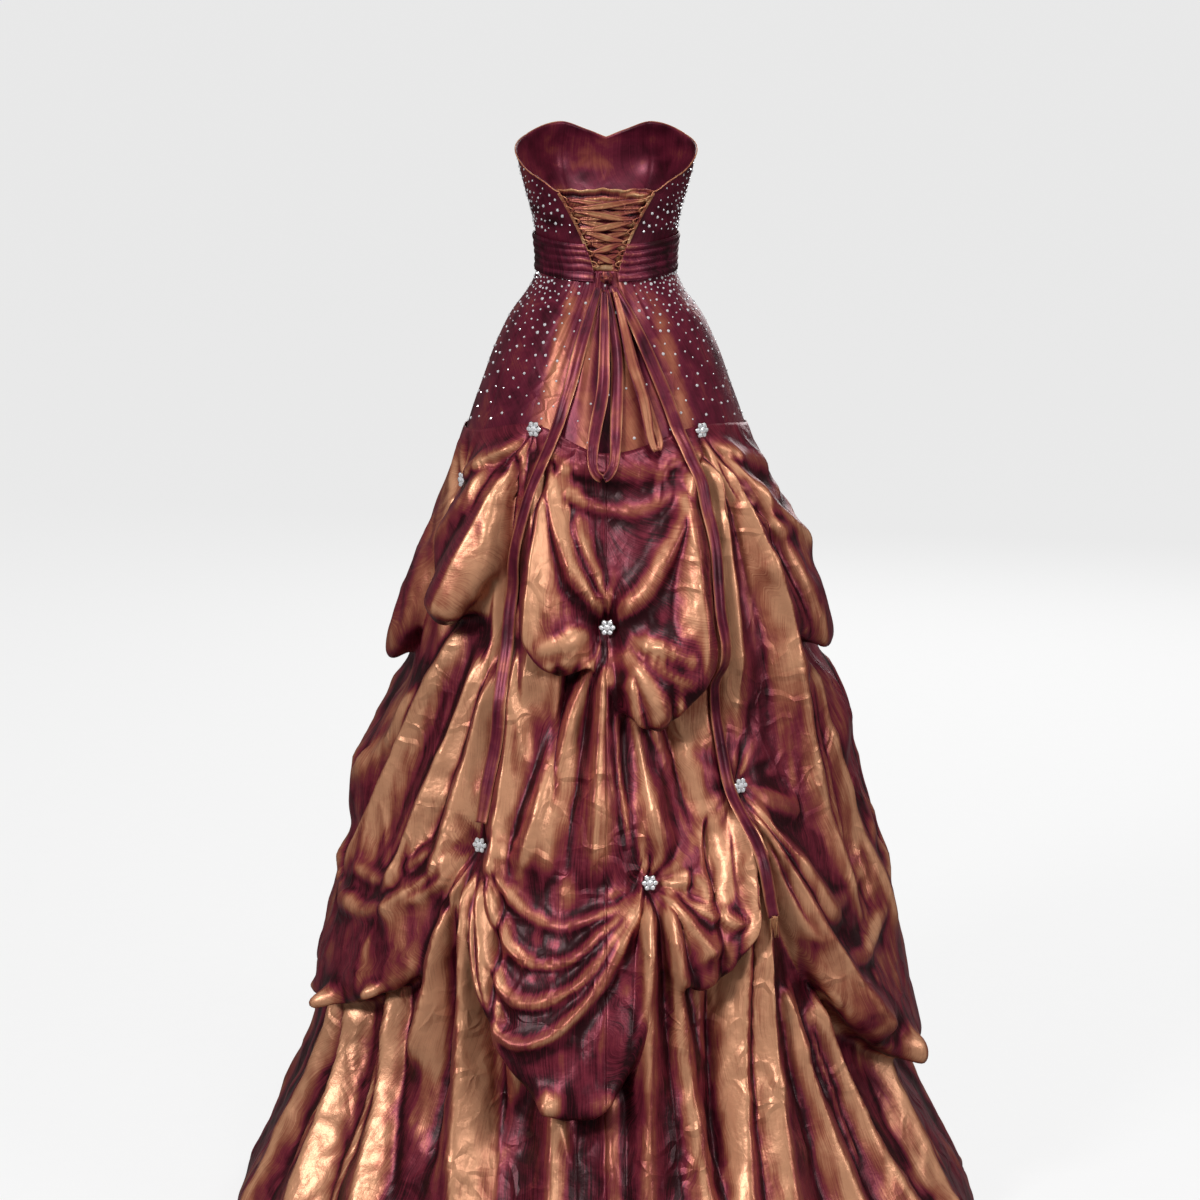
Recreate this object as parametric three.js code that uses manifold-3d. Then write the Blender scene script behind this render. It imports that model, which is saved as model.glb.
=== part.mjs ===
// A strapless pick-up ball gown with a lace-up corset back, as it hangs when worn, in millimetres.
// The origin is the wearer's waist centre, +Z is up, the front faces -Y and the lacing faces +Y.
// Turns are in degrees about Z: 0 is the centre back, 90 the wearer's left side, 180 the centre front.
import * as THREE from "three";
import { mergeVertices } from "three/addons/utils/BufferGeometryUtils.js";
import Module from "manifold-3d";

const CLOTH = 2; // thickness of the skirt and bodice walls
const LACE = 1; // thickness of the lacing, its tapes and the ties
const SEAM = 0.3; // gap between two pieces at a seam
const SKIRT_OUT = CLOTH + 1; // how far the draped skirt's outer face lies outside the yoke's
const HEM_Z = -1300;
const RAD = Math.PI / 180;

// Level sections of the outer cloth, from the bust to the hem: half width, half depth behind and in front.
const BODY_SECTIONS = [
  { z: 200, side: 121, back: 99, front: 112 },
  { z: 165, side: 121, back: 99, front: 113 },
  { z: 135, side: 118, back: 97, front: 116 },
  { z: 100, side: 110, back: 92, front: 112 },
  { z: 60, side: 99, back: 86, front: 97 },
  { z: 30, side: 93, back: 82, front: 89 },
  { z: 0, side: 90, back: 80, front: 85 },
  { z: -20, side: 92, back: 82, front: 87 },
  { z: -45, side: 104, back: 94, front: 96 },
  { z: -75, side: 126, back: 112, front: 110 },
  { z: -115, side: 146, back: 131, front: 125 },
  { z: -160, side: 163, back: 149, front: 140 },
  { z: -205, side: 179, back: 166, front: 154 },
  { z: -250, side: 192, back: 180, front: 167 },
  { z: -390, side: 217, back: 214, front: 200 },
  { z: -560, side: 264, back: 251, front: 236 },
  { z: -815, side: 338, back: 322, front: 303 },
  { z: -985, side: 379, back: 361, front: 340 },
  { z: -1120, side: 424, back: 404, front: 380 },
  { z: HEM_Z, side: 508, back: 482, front: 454 },
];

// The draped skirt's top edge, which lies over the bottom of the fitted yoke.
const SKIRT_TOP = [
  { turn: -180, z: -232 },
  { turn: -137.5, z: -214 },
  { turn: -100, z: -222 },
  { turn: -42.5, z: -208 },
  { turn: 0, z: -236 },
  { turn: 32, z: -204 },
  { turn: 70, z: -222 },
  { turn: 110, z: -222 },
  { turn: 148, z: -212 },
  { turn: 180, z: -232 },
];

// Each swag hangs between two pick-ups. z0 and z1 are its bottom below each pick-up, where it isn't tucked
// yet. drop is its sag below the straight line between them, square makes its bottom boxier, lean moves its
// lowest place, belly is how far it swells and tuck how far its bottom turns back in. start and end are the
// shares of its width in which the tuck fades in and out.
const UPPER_SWAGS = [
  { from: -180, to: -137.5, z0: -490, z1: -290, drop: 140, square: 0.8, lean: 1, belly: 42, tuck: 44, start: 0.4, end: 0.45 },
  { from: -137.5, to: -100, z0: -290, z1: -370, drop: 165, square: 0.8, lean: 1, belly: 46, tuck: 46, start: 0.4, end: 0.4 },
  { from: -100, to: -42.5, z0: -370, z1: -262, drop: 185, square: 0.7, lean: 1, belly: 75, tuck: 54, start: 0.28, end: 0.75 },
  { from: -42.5, to: 0, z0: -262, z1: -486, drop: 182, square: 0.65, lean: 0.9, belly: 38, tuck: 48, start: 0.55, end: 0.2 },
  { from: 0, to: 32, z0: -486, z1: -258, drop: 142, square: 0.85, lean: 1.5, belly: 32, tuck: 44, start: 0.25, end: 0.5 },
  { from: 32, to: 70, z0: -258, z1: -340, drop: 165, square: 0.65, lean: 0.95, belly: 52, tuck: 54, start: 0.3, end: 0.35 },
  { from: 70, to: 110, z0: -340, z1: -350, drop: 190, square: 0.75, lean: 1, belly: 46, tuck: 48, start: 0.35, end: 0.35 },
  { from: 110, to: 148, z0: -350, z1: -290, drop: 155, square: 0.8, lean: 1, belly: 46, tuck: 44, start: 0.4, end: 0.5 },
  { from: 148, to: 180, z0: -290, z1: -490, drop: 130, square: 0.8, lean: 0.9, belly: 38, tuck: 42, start: 0.5, end: 0.4 },
];
const SIDE_SWAGS = [
  { from: -130, to: -66, z0: -570, z1: -570, drop: 74, square: 0.8, lean: 1, belly: 57, tuck: 9, start: 0.4, end: 0.4 },
  { from: 70, to: 126, z0: -655, z1: -655, drop: 100, square: 0.8, lean: 1, belly: 40, tuck: 15, start: 0.4, end: 0.4 },
];
const LOWER_SWAGS = [
  { from: -180, to: -143, z0: -850, z1: -730, drop: 140, square: 0.8, lean: 1, belly: 42, tuck: 42, start: 0.4, end: 0.5 },
  { from: -143, to: -112, z0: -730, z1: -810, drop: 170, square: 0.8, lean: 1, belly: 46, tuck: 46, start: 0.4, end: 0.35 },
  { from: -112, to: -37, z0: -810, z1: -706, drop: 304, square: 0.68, lean: 1, belly: 40, tuck: 50, start: 0.22, end: 0.26 },
  { from: -37, to: -10, z0: -706, z1: -808, drop: 130, square: 0.65, lean: 1, belly: 42, tuck: 44, start: 0.36, end: 0.36 },
  { from: -10, to: 32, z0: -808, z1: -776, drop: 248, square: 0.8, lean: 0.75, belly: 56, tuck: 56, start: 0.26, end: 0.28 },
  { from: 32, to: 104, z0: -776, z1: -840, drop: 168, square: 0.58, lean: 1, belly: 33, tuck: 52, start: 0.3, end: 0.26 },
  { from: 104, to: 148, z0: -840, z1: -800, drop: 145, square: 0.8, lean: 1, belly: 46, tuck: 46, start: 0.3, end: 0.45 },
  { from: 148, to: 180, z0: -800, z1: -850, drop: 180, square: 0.8, lean: 1, belly: 48, tuck: 50, start: 0.3, end: 0.3 },
];

// Raised folds on the back and sides, each from one place (turn, z) to another. wide0 and wide1 are half
// widths at the two ends, high is its height, bow its sideways curve, and fade the share over which it dies.
const BACK_FOLDS = [
  { a0: 34, z0: -214, a1: 68, z1: -284, wide0: 9, wide1: 18, high: 16, bow: 6, fade: 0.3 },
  { a0: 36, z0: -262, a1: 44, z1: -460, wide0: 20, wide1: 56, high: 22, bow: 0, fade: 0.1 },
  { a0: 44, z0: -262, a1: 68, z1: -400, wide0: 18, wide1: 40, high: 16, bow: 0, fade: 0.2 },
  { a0: 28, z0: -223, a1: 22, z1: -470, wide0: 10, wide1: 22, high: 22, bow: 0, fade: 0.2 },
  { a0: 24, z0: -250, a1: 1, z1: -446, wide0: 18, wide1: 10, high: 22, bow: -10, fade: 0.1 },
  { a0: 14, z0: -300, a1: -1, z1: -440, wide0: 16, wide1: 8, high: 16, bow: 0, fade: 0.1 },
  { a0: 20, z0: -268, a1: 21, z1: -600, wide0: 18, wide1: 32, high: 26, bow: 4, fade: 0.3 },
  { a0: 18, z0: -262, a1: -16, z1: -276, wide0: 14, wide1: 14, high: 16, bow: 26, fade: 0.2 },
  { a0: 25, z0: -290, a1: -28, z1: -296, wide0: 14, wide1: 14, high: 14, bow: 62, fade: 0.2 },
  { a0: -36, z0: -240, a1: -3, z1: -446, wide0: 18, wide1: 10, high: 22, bow: 14, fade: 0.1 },
  { a0: -30, z0: -262, a1: -29, z1: -560, wide0: 16, wide1: 28, high: 26, bow: 0, fade: 0.3 },
  { a0: -43, z0: -236, a1: -43, z1: -600, wide0: 9, wide1: 30, high: 30, bow: 0, fade: 0.3 },
  { a0: -46, z0: -236, a1: -66, z1: -640, wide0: 9, wide1: 20, high: 22, bow: -8, fade: 0.3 },
  { a0: -49, z0: -238, a1: -84, z1: -400, wide0: 10, wide1: 26, high: 20, bow: -10, fade: 0.2 },
  { a0: -45, z0: -219, a1: -86, z1: -280, wide0: 9, wide1: 22, high: 14, bow: -10, fade: 0.3 },
  { a0: 2, z0: -459, a1: 22, z1: -484, wide0: 9, wide1: 20, high: 20, bow: 0, fade: 0.2 },
  { a0: -3, z0: -460, a1: -27, z1: -508, wide0: 10, wide1: 22, high: 22, bow: 0, fade: 0.2 },
  { a0: -3, z0: -466, a1: -15, z1: -572, wide0: 10, wide1: 24, high: 20, bow: 0, fade: 0.1 },
  { a0: 0, z0: -480, a1: 1, z1: -790, wide0: 10, wide1: 34, high: 26, bow: 0, fade: 0.3 },
  { a0: 3, z0: -480, a1: 19, z1: -800, wide0: 12, wide1: 34, high: 28, bow: -8, fade: 0.25 },
  { a0: -5, z0: -490, a1: -12, z1: -745, wide0: 10, wide1: 24, high: 20, bow: 0, fade: 0.2 },
  { a0: 25, z0: -470, a1: 25, z1: -800, wide0: 18, wide1: 26, high: 24, bow: 0, fade: 0.2 },
  { a0: 8, z0: -740, a1: 9, z1: -1010, wide0: 28, wide1: 38, high: 20, bow: 0, fade: 0.2 },
  { a0: -4, z0: -740, a1: -1, z1: -990, wide0: 24, wide1: 32, high: 20, bow: 0, fade: 0.2 },
  { a0: 17, z0: -780, a1: 16, z1: -970, wide0: 20, wide1: 28, high: 18, bow: 0, fade: 0.2 },
  { a0: 40, z0: -490, a1: 55, z1: -840, wide0: 18, wide1: 24, high: 26, bow: 0, fade: 0.2 },
  { a0: 52, z0: -470, a1: 76, z1: -860, wide0: 20, wide1: 26, high: 26, bow: -10, fade: 0.2 },
  { a0: 34, z0: -500, a1: 41, z1: -810, wide0: 14, wide1: 24, high: 24, bow: 0, fade: 0.2 },
  { a0: 66, z0: -560, a1: 90, z1: -740, wide0: 20, wide1: 30, high: 18, bow: 0, fade: 0.3 },
  { a0: 34, z0: -729, a1: 56, z1: -800, wide0: 9, wide1: 20, high: 16, bow: -8, fade: 0.2 },
  { a0: 34, z0: -738, a1: 54, z1: -862, wide0: 9, wide1: 26, high: 20, bow: -10, fade: 0.2 },
  { a0: 33, z0: -750, a1: 40, z1: -1040, wide0: 10, wide1: 30, high: 32, bow: 0, fade: 0.2 },
  { a0: 32, z0: -755, a1: 27, z1: -1290, wide0: 10, wide1: 40, high: 40, bow: 0, fade: 0 },
  { a0: 30, z0: -760, a1: 19, z1: -1060, wide0: 10, wide1: 26, high: 26, bow: 0, fade: 0.2 },
  { a0: -12, z0: -766, a1: -20, z1: -776, wide0: 8, wide1: 14, high: 12, bow: 0, fade: 0.2 },
  { a0: -12, z0: -772, a1: -22, z1: -868, wide0: 9, wide1: 24, high: 20, bow: 0, fade: 0.2 },
  { a0: -10, z0: -782, a1: -9, z1: -1290, wide0: 10, wide1: 44, high: 34, bow: 0, fade: 0 },
  { a0: -13, z0: -782, a1: -17, z1: -1290, wide0: 10, wide1: 34, high: 30, bow: 0, fade: 0 },
  { a0: -38, z0: -668, a1: -56, z1: -712, wide0: 8, wide1: 20, high: 14, bow: 0, fade: 0.2 },
  { a0: -38, z0: -673, a1: -57, z1: -866, wide0: 10, wide1: 28, high: 24, bow: -6, fade: 0.2 },
  { a0: -37, z0: -680, a1: -63, z1: -1020, wide0: 10, wide1: 30, high: 26, bow: -10, fade: 0.1 },
  { a0: -37, z0: -682, a1: -33, z1: -1290, wide0: 10, wide1: 44, high: 40, bow: 0, fade: 0 },
  { a0: -35, z0: -682, a1: -24, z1: -1290, wide0: 10, wide1: 34, high: 30, bow: 0, fade: 0 },
  { a0: -55, z0: -460, a1: -66, z1: -900, wide0: 22, wide1: 34, high: 24, bow: 0, fade: 0.25 },
  { a0: -72, z0: -520, a1: -80, z1: -940, wide0: 20, wide1: 32, high: 20, bow: 0, fade: 0.25 },
  { a0: -47, z0: -930, a1: -57, z1: -1290, wide0: 24, wide1: 42, high: 34, bow: 0, fade: 0 },
  { a0: -37, z0: -900, a1: -45, z1: -1290, wide0: 20, wide1: 40, high: 32, bow: 0, fade: 0 },
  { a0: 68, z0: -940, a1: 60, z1: -1290, wide0: 22, wide1: 44, high: 34, bow: 0, fade: 0 },
  { a0: 54, z0: -920, a1: 44, z1: -1290, wide0: 18, wide1: 40, high: 32, bow: 0, fade: 0 },
  { a0: 12, z0: -1000, a1: 11, z1: -1290, wide0: 24, wide1: 36, high: 26, bow: 0, fade: 0 },
  { a0: 1, z0: -1000, a1: 0, z1: -1290, wide0: 24, wide1: 36, high: 26, bow: 0, fade: 0 },
  { a0: -72, z0: -1000, a1: -72, z1: -1290, wide0: 24, wide1: 44, high: 26, bow: 0, fade: 0 },
  { a0: 80, z0: -960, a1: 77, z1: -1290, wide0: 24, wide1: 44, high: 26, bow: 0, fade: 0 },
];

// The brooches that pin the skirt up. dimple is how deep the cloth is drawn in round each one.
const BROOCHES = [
  { name: "upper_back_left", turn: 32, z: -209, dimple: 0 },
  { name: "upper_back_right", turn: -42.5, z: -213, dimple: 0 },
  { name: "middle_back", turn: 0, z: -452, dimple: 12 },
  { name: "lower_back_left", turn: 32, z: -731, dimple: 14 },
  { name: "lower_back_centre", turn: -10, z: -768, dimple: 14 },
  { name: "lower_back_right", turn: -37, z: -661, dimple: 14 },
  { name: "upper_side_left", turn: 70, z: -288, dimple: 8 },
  { name: "upper_side_right", turn: -100, z: -318, dimple: 8 },
  { name: "upper_front_left", turn: 148, z: -218, dimple: 0 },
  { name: "upper_front_right", turn: -137.5, z: -220, dimple: 0 },
  { name: "middle_front", turn: 180, z: -449, dimple: 12 },
  { name: "lower_front_left", turn: 148, z: -745, dimple: 14 },
  { name: "lower_front_right", turn: -143, z: -675, dimple: 14 },
];
const BROOCH = { petals: 5, radius: 11, notch: 2.6, thick: 4, stone: 4.6, raised: 3 };

// The gores of the draped skirt. breaks are turns where a column of the mesh falls on a pick-up.
const GORES = [
  { name: "skirt_back_left", breaks: [0, 32, 70, 90], cells: [9, 10, 4] },
  { name: "skirt_back_right", breaks: [-90, -42.5, -37, -10, 0], cells: [11, 2, 8, 4] },
  { name: "skirt_front_left", breaks: [90, 110, 148, 180], cells: [4, 6, 6] },
  { name: "skirt_front_right", breaks: [180, 222.5, 260, 270], cells: [7, 6, 2] },
];
const CROWDING = 0.55; // how much the columns crowd towards the pick-ups
const ROWS = { swag: 6, side: 3, lower: 6, hem: 6 };
const FOLD_RISE = 70; // length over which a fold rises to its height
const FINEST = 19; // least half width of a fold, to suit the spacing of the columns

const BAND = { top: 31, bottom: -17, dip: 9, out: 4.5, pleats: 4, pleatHigh: 1.6, cells: 32 };
const OPENING = [
  { z: 88, turn: 39 },
  { z: 60, turn: 30 },
  { z: 30, turn: 21 },
  { z: 0, turn: 14 },
  { z: -14, turn: 11 },
];
const NECK = [
  { turn: 0, z: 88 },
  { turn: 40, z: 89 },
  { turn: 52, z: 101 },
  { turn: 68, z: 114 },
  { turn: 90, z: 137 },
  { turn: 115, z: 152 },
  { turn: 148, z: 168 },
  { turn: 168, z: 156 },
  { turn: 180, z: 146 },
];
const CUP = { turn: 29, z: 108, wide: 42, tall: 44, high: 13 };
const LACING = {
  loops: 7, top: 80, bottom: -4, wide: 8.5, narrow: 2.2, in: 3.5, turn: 3.4, lift: -0.8, over: 2.1, rise: 0.65,
};
const TAPE = { loops: 4, on: 2.5, least: 1, reach: 4.5, over: 3.9 };
const PROBE = 300; // depth through which a thing laid on the gown feels for the cloth
const TAIL_LIFT = 2.4; // height of a tail's middle over the cloth
const TIE_STEP = 21; // length of each straight run of a tie
const KNOT = { z: -20, wide: 17, deep: 10, high: 15, lift: 2.9 };
const PANEL = { inset: 2.35, top: 93, bottom: -16, reach: 43, wave: 1.6 };

const lerp = (p, q, t) => p + (q - p) * t;
const clamp01 = (t) => Math.min(1, Math.max(0, t));
const smooth = (t) => clamp01(t) ** 2 * (3 - 2 * clamp01(t));
const wrap = (turn) => ((((turn + 180) % 360) + 360) % 360) - 180;

// A value from a table, smooth between its rows. key is the column that is looked along, in rising order.
function look(table, key, value, at) {
  const last = table.length - 1;
  if (at <= table[0][key]) return table[0][value];
  if (at >= table[last][key]) return table[last][value];
  let i = 0;
  while (table[i + 1][key] < at) i += 1;
  const [p, q] = [table[i], table[i + 1]];
  const slope = (j) => {
    const before = table[Math.max(j - 1, 0)];
    const after = table[Math.min(j + 1, last)];
    return (after[value] - before[value]) / (after[key] - before[key]);
  };
  const span = q[key] - p[key];
  const t = (at - p[key]) / span;
  const [s0, s1] = [slope(i) * span, slope(i + 1) * span];
  const bend = s0 + s1 - 2 * (q[value] - p[value]);
  return p[value] + t * (s0 + t * (q[value] - p[value] - s0 + (t - 1) * bend));
}

const RISING = [...BODY_SECTIONS].reverse();

// The outer radius of the plain body of the gown at a turn and height.
function plainRadius(turn, z) {
  const side = look(RISING, "z", "side", z);
  const behind = Math.cos(turn * RAD) >= 0;
  const deep = look(RISING, "z", behind ? "back" : "front", z);
  return 1 / Math.hypot(Math.sin(turn * RAD) / side, Math.cos(turn * RAD) / deep);
}

const place = (turn, radius, z) =>
  new THREE.Vector3(radius * Math.sin(turn * RAD), radius * Math.cos(turn * RAD), z);
const sideways = (turn) => new THREE.Vector3(Math.cos(turn * RAD), -Math.sin(turn * RAD), 0);

// The folds of the front are those of the back, turned over about the sides.
const FOLDS = BACK_FOLDS.flatMap((fold) => [
  fold,
  { ...fold, a0: 180 - fold.a0, a1: 180 - fold.a1, bow: -fold.bow, high: fold.high * 0.85 },
]);

// The height of one fold at a turn and height on the skirt.
function foldHeight(fold, turn, z) {
  const around = RAD * plainRadius(fold.a0, (fold.z0 + fold.z1) / 2);
  const across = wrap(turn - fold.a0) * around;
  const down = z - fold.z0;
  const runX = (fold.a1 - fold.a0) * around;
  const runZ = fold.z1 - fold.z0;
  const long = Math.hypot(runX, runZ);
  const t = (across * runX + down * runZ) / long ** 2;
  if (t < 0 || (t > 1 && fold.fade > 0)) return 0;
  const aside = (across * runZ - down * runX) / long - fold.bow * 4 * t * (1 - t);
  const half = Math.max(FINEST, 1.35 * lerp(fold.wide0, fold.wide1, clamp01(t)));
  if (Math.abs(aside) >= half) return 0;
  const ends = smooth((t * long) / FOLD_RISE) * (fold.fade > 0 ? 1 - smooth((t - 1 + fold.fade) / fold.fade) : 1);
  return fold.high * ends * Math.cos((Math.PI / 2) * (aside / half)) ** 2;
}

// How far the folds and the dimples of the brooches move the skirt outwards.
function foldsAt(turn, z) {
  let raised = 0;
  for (const fold of FOLDS) raised = Math.max(raised, foldHeight(fold, turn, z));
  for (const pin of BROOCHES) {
    const across = wrap(turn - pin.turn) * RAD * plainRadius(pin.turn, pin.z);
    raised -= pin.dimple * Math.exp(-(across ** 2 + (z - pin.z) ** 2) / 24 ** 2);
  }
  return raised;
}

// The swag of a row that covers a turn, with where the turn lies along it.
function swagAt(swags, turn) {
  const swag = swags.find((row) => turn >= row.from && turn <= row.to);
  if (!swag) return null;
  const s = (turn - swag.from) / (swag.to - swag.from);
  const leaning = s ** swag.lean;
  const arch = clamp01(4 * leaning * (1 - leaning));
  return {
    bottom: lerp(swag.z0, swag.z1, s) - swag.drop * arch ** swag.square,
    belly: swag.belly * arch,
    tuck: swag.tuck,
    turned: smooth(s / swag.start) * smooth((1 - s) / swag.end),
  };
}

// A point along a cubic curve with four control points, each an [outward, z] pair.
function cubic(points, t) {
  const u = 1 - t;
  const share = [u ** 3, 3 * u * u * t, 3 * u * t * t, t ** 3];
  return [0, 1].map((k) => points.reduce((sum, point, i) => sum + share[i] * point[k], 0));
}

const LIFT = 8; // how far a tucked edge turns up inside its swag
const PLAIN_STEP = 8; // length of each of the same rows where the cloth runs on untucked

// The rows from the top of one swag to the end of its tuck, as [outward, z] pairs. rest is how far out the
// cloth lies where it does not swell.
function swagRows(top, swag, cells, rest) {
  const high = top[1] - swag.bottom;
  const edge = [rest + 0.8 * swag.belly, swag.bottom];
  const drop = [
    top,
    [top[0] + 0.12 * (edge[0] - top[0]), top[1] - 0.3 * high],
    [rest + 1.25 * swag.belly, swag.bottom + 0.3 * high],
    edge,
  ];
  const rows = [];
  for (let i = 1; i <= cells; i += 1) rows.push(cubic(drop, i / cells));
  const tuck = swag.tuck * swag.turned;
  const up = smooth((tuck - 18) / 24);
  rows.push([edge[0] - 0.36 * tuck, swag.bottom - lerp(PLAIN_STEP, 4, up)]);
  rows.push([edge[0] - 0.56 * tuck, swag.bottom + lerp(-2 * PLAIN_STEP, LIFT, up)]);
  rows.push([edge[0] - tuck, swag.bottom + lerp(-3 * PLAIN_STEP, LIFT - 2, up)]);
  return rows;
}

// The skirt's profile at a turn: [outward, z] pairs from the top edge to the hem.
function skirtProfile(turn) {
  const at = wrap(turn);
  const upper = swagAt(UPPER_SWAGS, at);
  const lower = swagAt(LOWER_SWAGS, at);
  const side = swagAt(SIDE_SWAGS, at);
  const share = side ? side.turned : 0;
  const middle = (upper.bottom + lower.bottom) / 2;
  const between = {
    bottom: side ? lerp(middle, side.bottom, share) : middle,
    belly: side ? side.belly * share : 0,
    tuck: side ? side.tuck : 0,
    turned: share,
  };
  const rows = [[SKIRT_OUT, look(SKIRT_TOP, "turn", "z", at)]];
  rows.push(...swagRows(rows[0], upper, ROWS.swag, SKIRT_OUT));
  rows.push(...swagRows(rows.at(-1), between, ROWS.side, 0));
  rows.push(...swagRows(rows.at(-1), lower, ROWS.lower, 0));
  const start = rows.at(-1);
  const hem = [start, [start[0] - 6, lerp(start[1], HEM_Z, 0.3)], [0, lerp(start[1], HEM_Z, 0.7)], [0, HEM_Z]];
  for (let i = 1; i <= ROWS.hem; i += 1) rows.push(cubic(hem, i / ROWS.hem));
  return rows;
}

// One column of skirt points. shift moves the column along the cloth, for the seam gap.
function skirtColumn(turn, shift) {
  return skirtProfile(turn).map(([outward, z], row) => {
    const settled = smooth((SKIRT_EASE - z) / SKIRT_EASE_SPAN);
    const radius = plainRadius(turn, z) + outward + (row === 0 ? 0 : settled * foldsAt(turn, z));
    return place(turn, radius, z).addScaledVector(sideways(turn), shift);
  });
}
const SKIRT_EASE = -206; // folds start to rise below this height
const SKIRT_EASE_SPAN = 40;

// A closed wall between a grid of outer points and the same grid moved in by its thickness. grid[i][j] is
// row j of column i, and the columns run in rising turn. seams are the turns of the first and last column,
// whose ends are cut flat there. The first and last rows have level edges.
function wall(grid, thick, seams = null) {
  const columns = grid.length;
  const rows = grid[0].length;
  const facing = (i, j) => {
    const [a, b, c, d] = [grid[i][j], grid[i + 1][j], grid[i + 1][j + 1], grid[i][j + 1]];
    return c.clone().sub(a).cross(d.clone().sub(b)).normalize();
  };
  const outer = [];
  const inner = [];
  for (let i = 0; i < columns; i += 1) {
    for (let j = 0; j < rows; j += 1) {
      const around = [];
      for (const [di, dj] of [[-1, -1], [0, -1], [-1, 0], [0, 0]]) {
        const [fi, fj] = [i + di, j + dj];
        if (fi >= 0 && fj >= 0 && fi < columns - 1 && fj < rows - 1) around.push(facing(fi, fj));
      }
      const normal = around.reduce((sum, face) => sum.add(face), new THREE.Vector3());
      if (seams && (i === 0 || i === columns - 1)) {
        const across = sideways(seams[i === 0 ? 0 : 1]);
        normal.addScaledVector(across, -normal.dot(across));
      }
      if (j === 0 || j === rows - 1) normal.z = 0;
      normal.normalize();
      const lean = around.reduce((sum, face) => sum + face.dot(normal), 0) / around.length;
      outer.push(grid[i][j]);
      inner.push(grid[i][j].clone().addScaledVector(normal, -thick / Math.max(lean, 0.8)));
    }
  }
  const points = [...outer, ...inner];
  const index = [];
  const id = (i, j, side) => side * outer.length + i * rows + j;
  const quad = (a, b, c, d) => index.push(a, b, c, a, c, d);
  const end = columns - 1;
  for (let i = 0; i < end; i += 1) {
    for (let j = 0; j < rows - 1; j += 1) {
      const corners = [[i, j], [i, j + 1], [i + 1, j + 1], [i + 1, j]];
      const [a, b, c, d] = corners.map(([p, q]) => grid[p][q]);
      if (b.distanceTo(d) < a.distanceTo(c)) corners.push(corners.shift());
      quad(...corners.map(([p, q]) => id(p, q, 0)));
      const [first, second, third, fourth] = corners.map(([p, q]) => id(p, q, 1));
      quad(first, fourth, third, second);
    }
    quad(id(i, 0, 0), id(i + 1, 0, 0), id(i + 1, 0, 1), id(i, 0, 1));
    quad(id(i, rows - 1, 0), id(i, rows - 1, 1), id(i + 1, rows - 1, 1), id(i + 1, rows - 1, 0));
  }
  for (let j = 0; j < rows - 1; j += 1) {
    quad(id(0, j, 0), id(0, j, 1), id(0, j + 1, 1), id(0, j + 1, 0));
    quad(id(end, j, 0), id(end, j + 1, 0), id(end, j + 1, 1), id(end, j, 1));
  }
  return meshGeometry(points, index);
}

// A geometry from points and triangles, turned the right way out.
function meshGeometry(points, index) {
  let volume = 0;
  for (let i = 0; i < index.length; i += 3) {
    const [a, b, c] = [points[index[i]], points[index[i + 1]], points[index[i + 2]]];
    volume += a.dot(b.clone().cross(c));
  }
  if (volume < 0) index.reverse();
  const geometry = new THREE.BufferGeometry();
  const numbers = points.flatMap((point) => [point.x, point.y, point.z]);
  geometry.setAttribute("position", new THREE.Float32BufferAttribute(numbers, 3));
  geometry.setIndex(index);
  return geometry;
}

const wasm = await Module();
wasm.setup();

// A closed geometry as a solid, and a solid as a geometry.
function solidOf(geometry) {
  const bare = geometry.clone();
  bare.deleteAttribute("normal");
  bare.deleteAttribute("uv");
  const merged = mergeVertices(bare, 1e-3);
  const vertProperties = new Float32Array(merged.attributes.position.array);
  const triVerts = new Uint32Array(merged.index.array);
  return new wasm.Manifold(new wasm.Mesh({ numProp: 3, vertProperties, triVerts }));
}
function geometryOf(solid) {
  const mesh = solid.getMesh();
  const geometry = new THREE.BufferGeometry();
  geometry.setAttribute("position", new THREE.Float32BufferAttribute(mesh.vertProperties, 3));
  geometry.setIndex(new THREE.BufferAttribute(mesh.triVerts, 1));
  return geometry;
}

const cloth = (color) => new THREE.MeshStandardMaterial({ color, roughness: 0.4, metalness: 0.3 });
const TAFFETA = cloth(0x8a3f3c);
const BEADED = cloth(0x6a2234);
const BAND_CLOTH = cloth(0x5c1c30);
const GOLD_SIDE = cloth(0xb98a5c);
const CRYSTAL = new THREE.MeshStandardMaterial({ color: 0xe6e2dc, roughness: 0.15, metalness: 0.4 });

const gown = new THREE.Group();
function add(name, geometry, material) {
  const mesh = new THREE.Mesh(geometry, material);
  mesh.name = name;
  gown.add(mesh);
}

const steps = (from, to, cells) => Array.from({ length: cells + 1 }, (_, i) => lerp(from, to, i / cells));

// The turns of a gore's columns.
function goreTurns(gore) {
  const turns = [gore.breaks[0]];
  gore.cells.forEach((cells, i) => {
    const spread = steps(0, 1, cells).map((t) => lerp(t, smooth(t), CROWDING));
    turns.push(...spread.slice(1).map((t) => lerp(gore.breaks[i], gore.breaks[i + 1], t)));
  });
  return turns;
}

function addSkirt() {
  for (const gore of GORES) {
    const turns = goreTurns(gore);
    const grid = turns.map((turn, i) => {
      const shift = i === 0 ? SEAM / 2 : i === turns.length - 1 ? -SEAM / 2 : 0;
      return skirtColumn(turn, shift);
    });
    add(gore.name, wall(grid, CLOTH, [turns[0], turns.at(-1)]), TAFFETA);
  }
}

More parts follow.
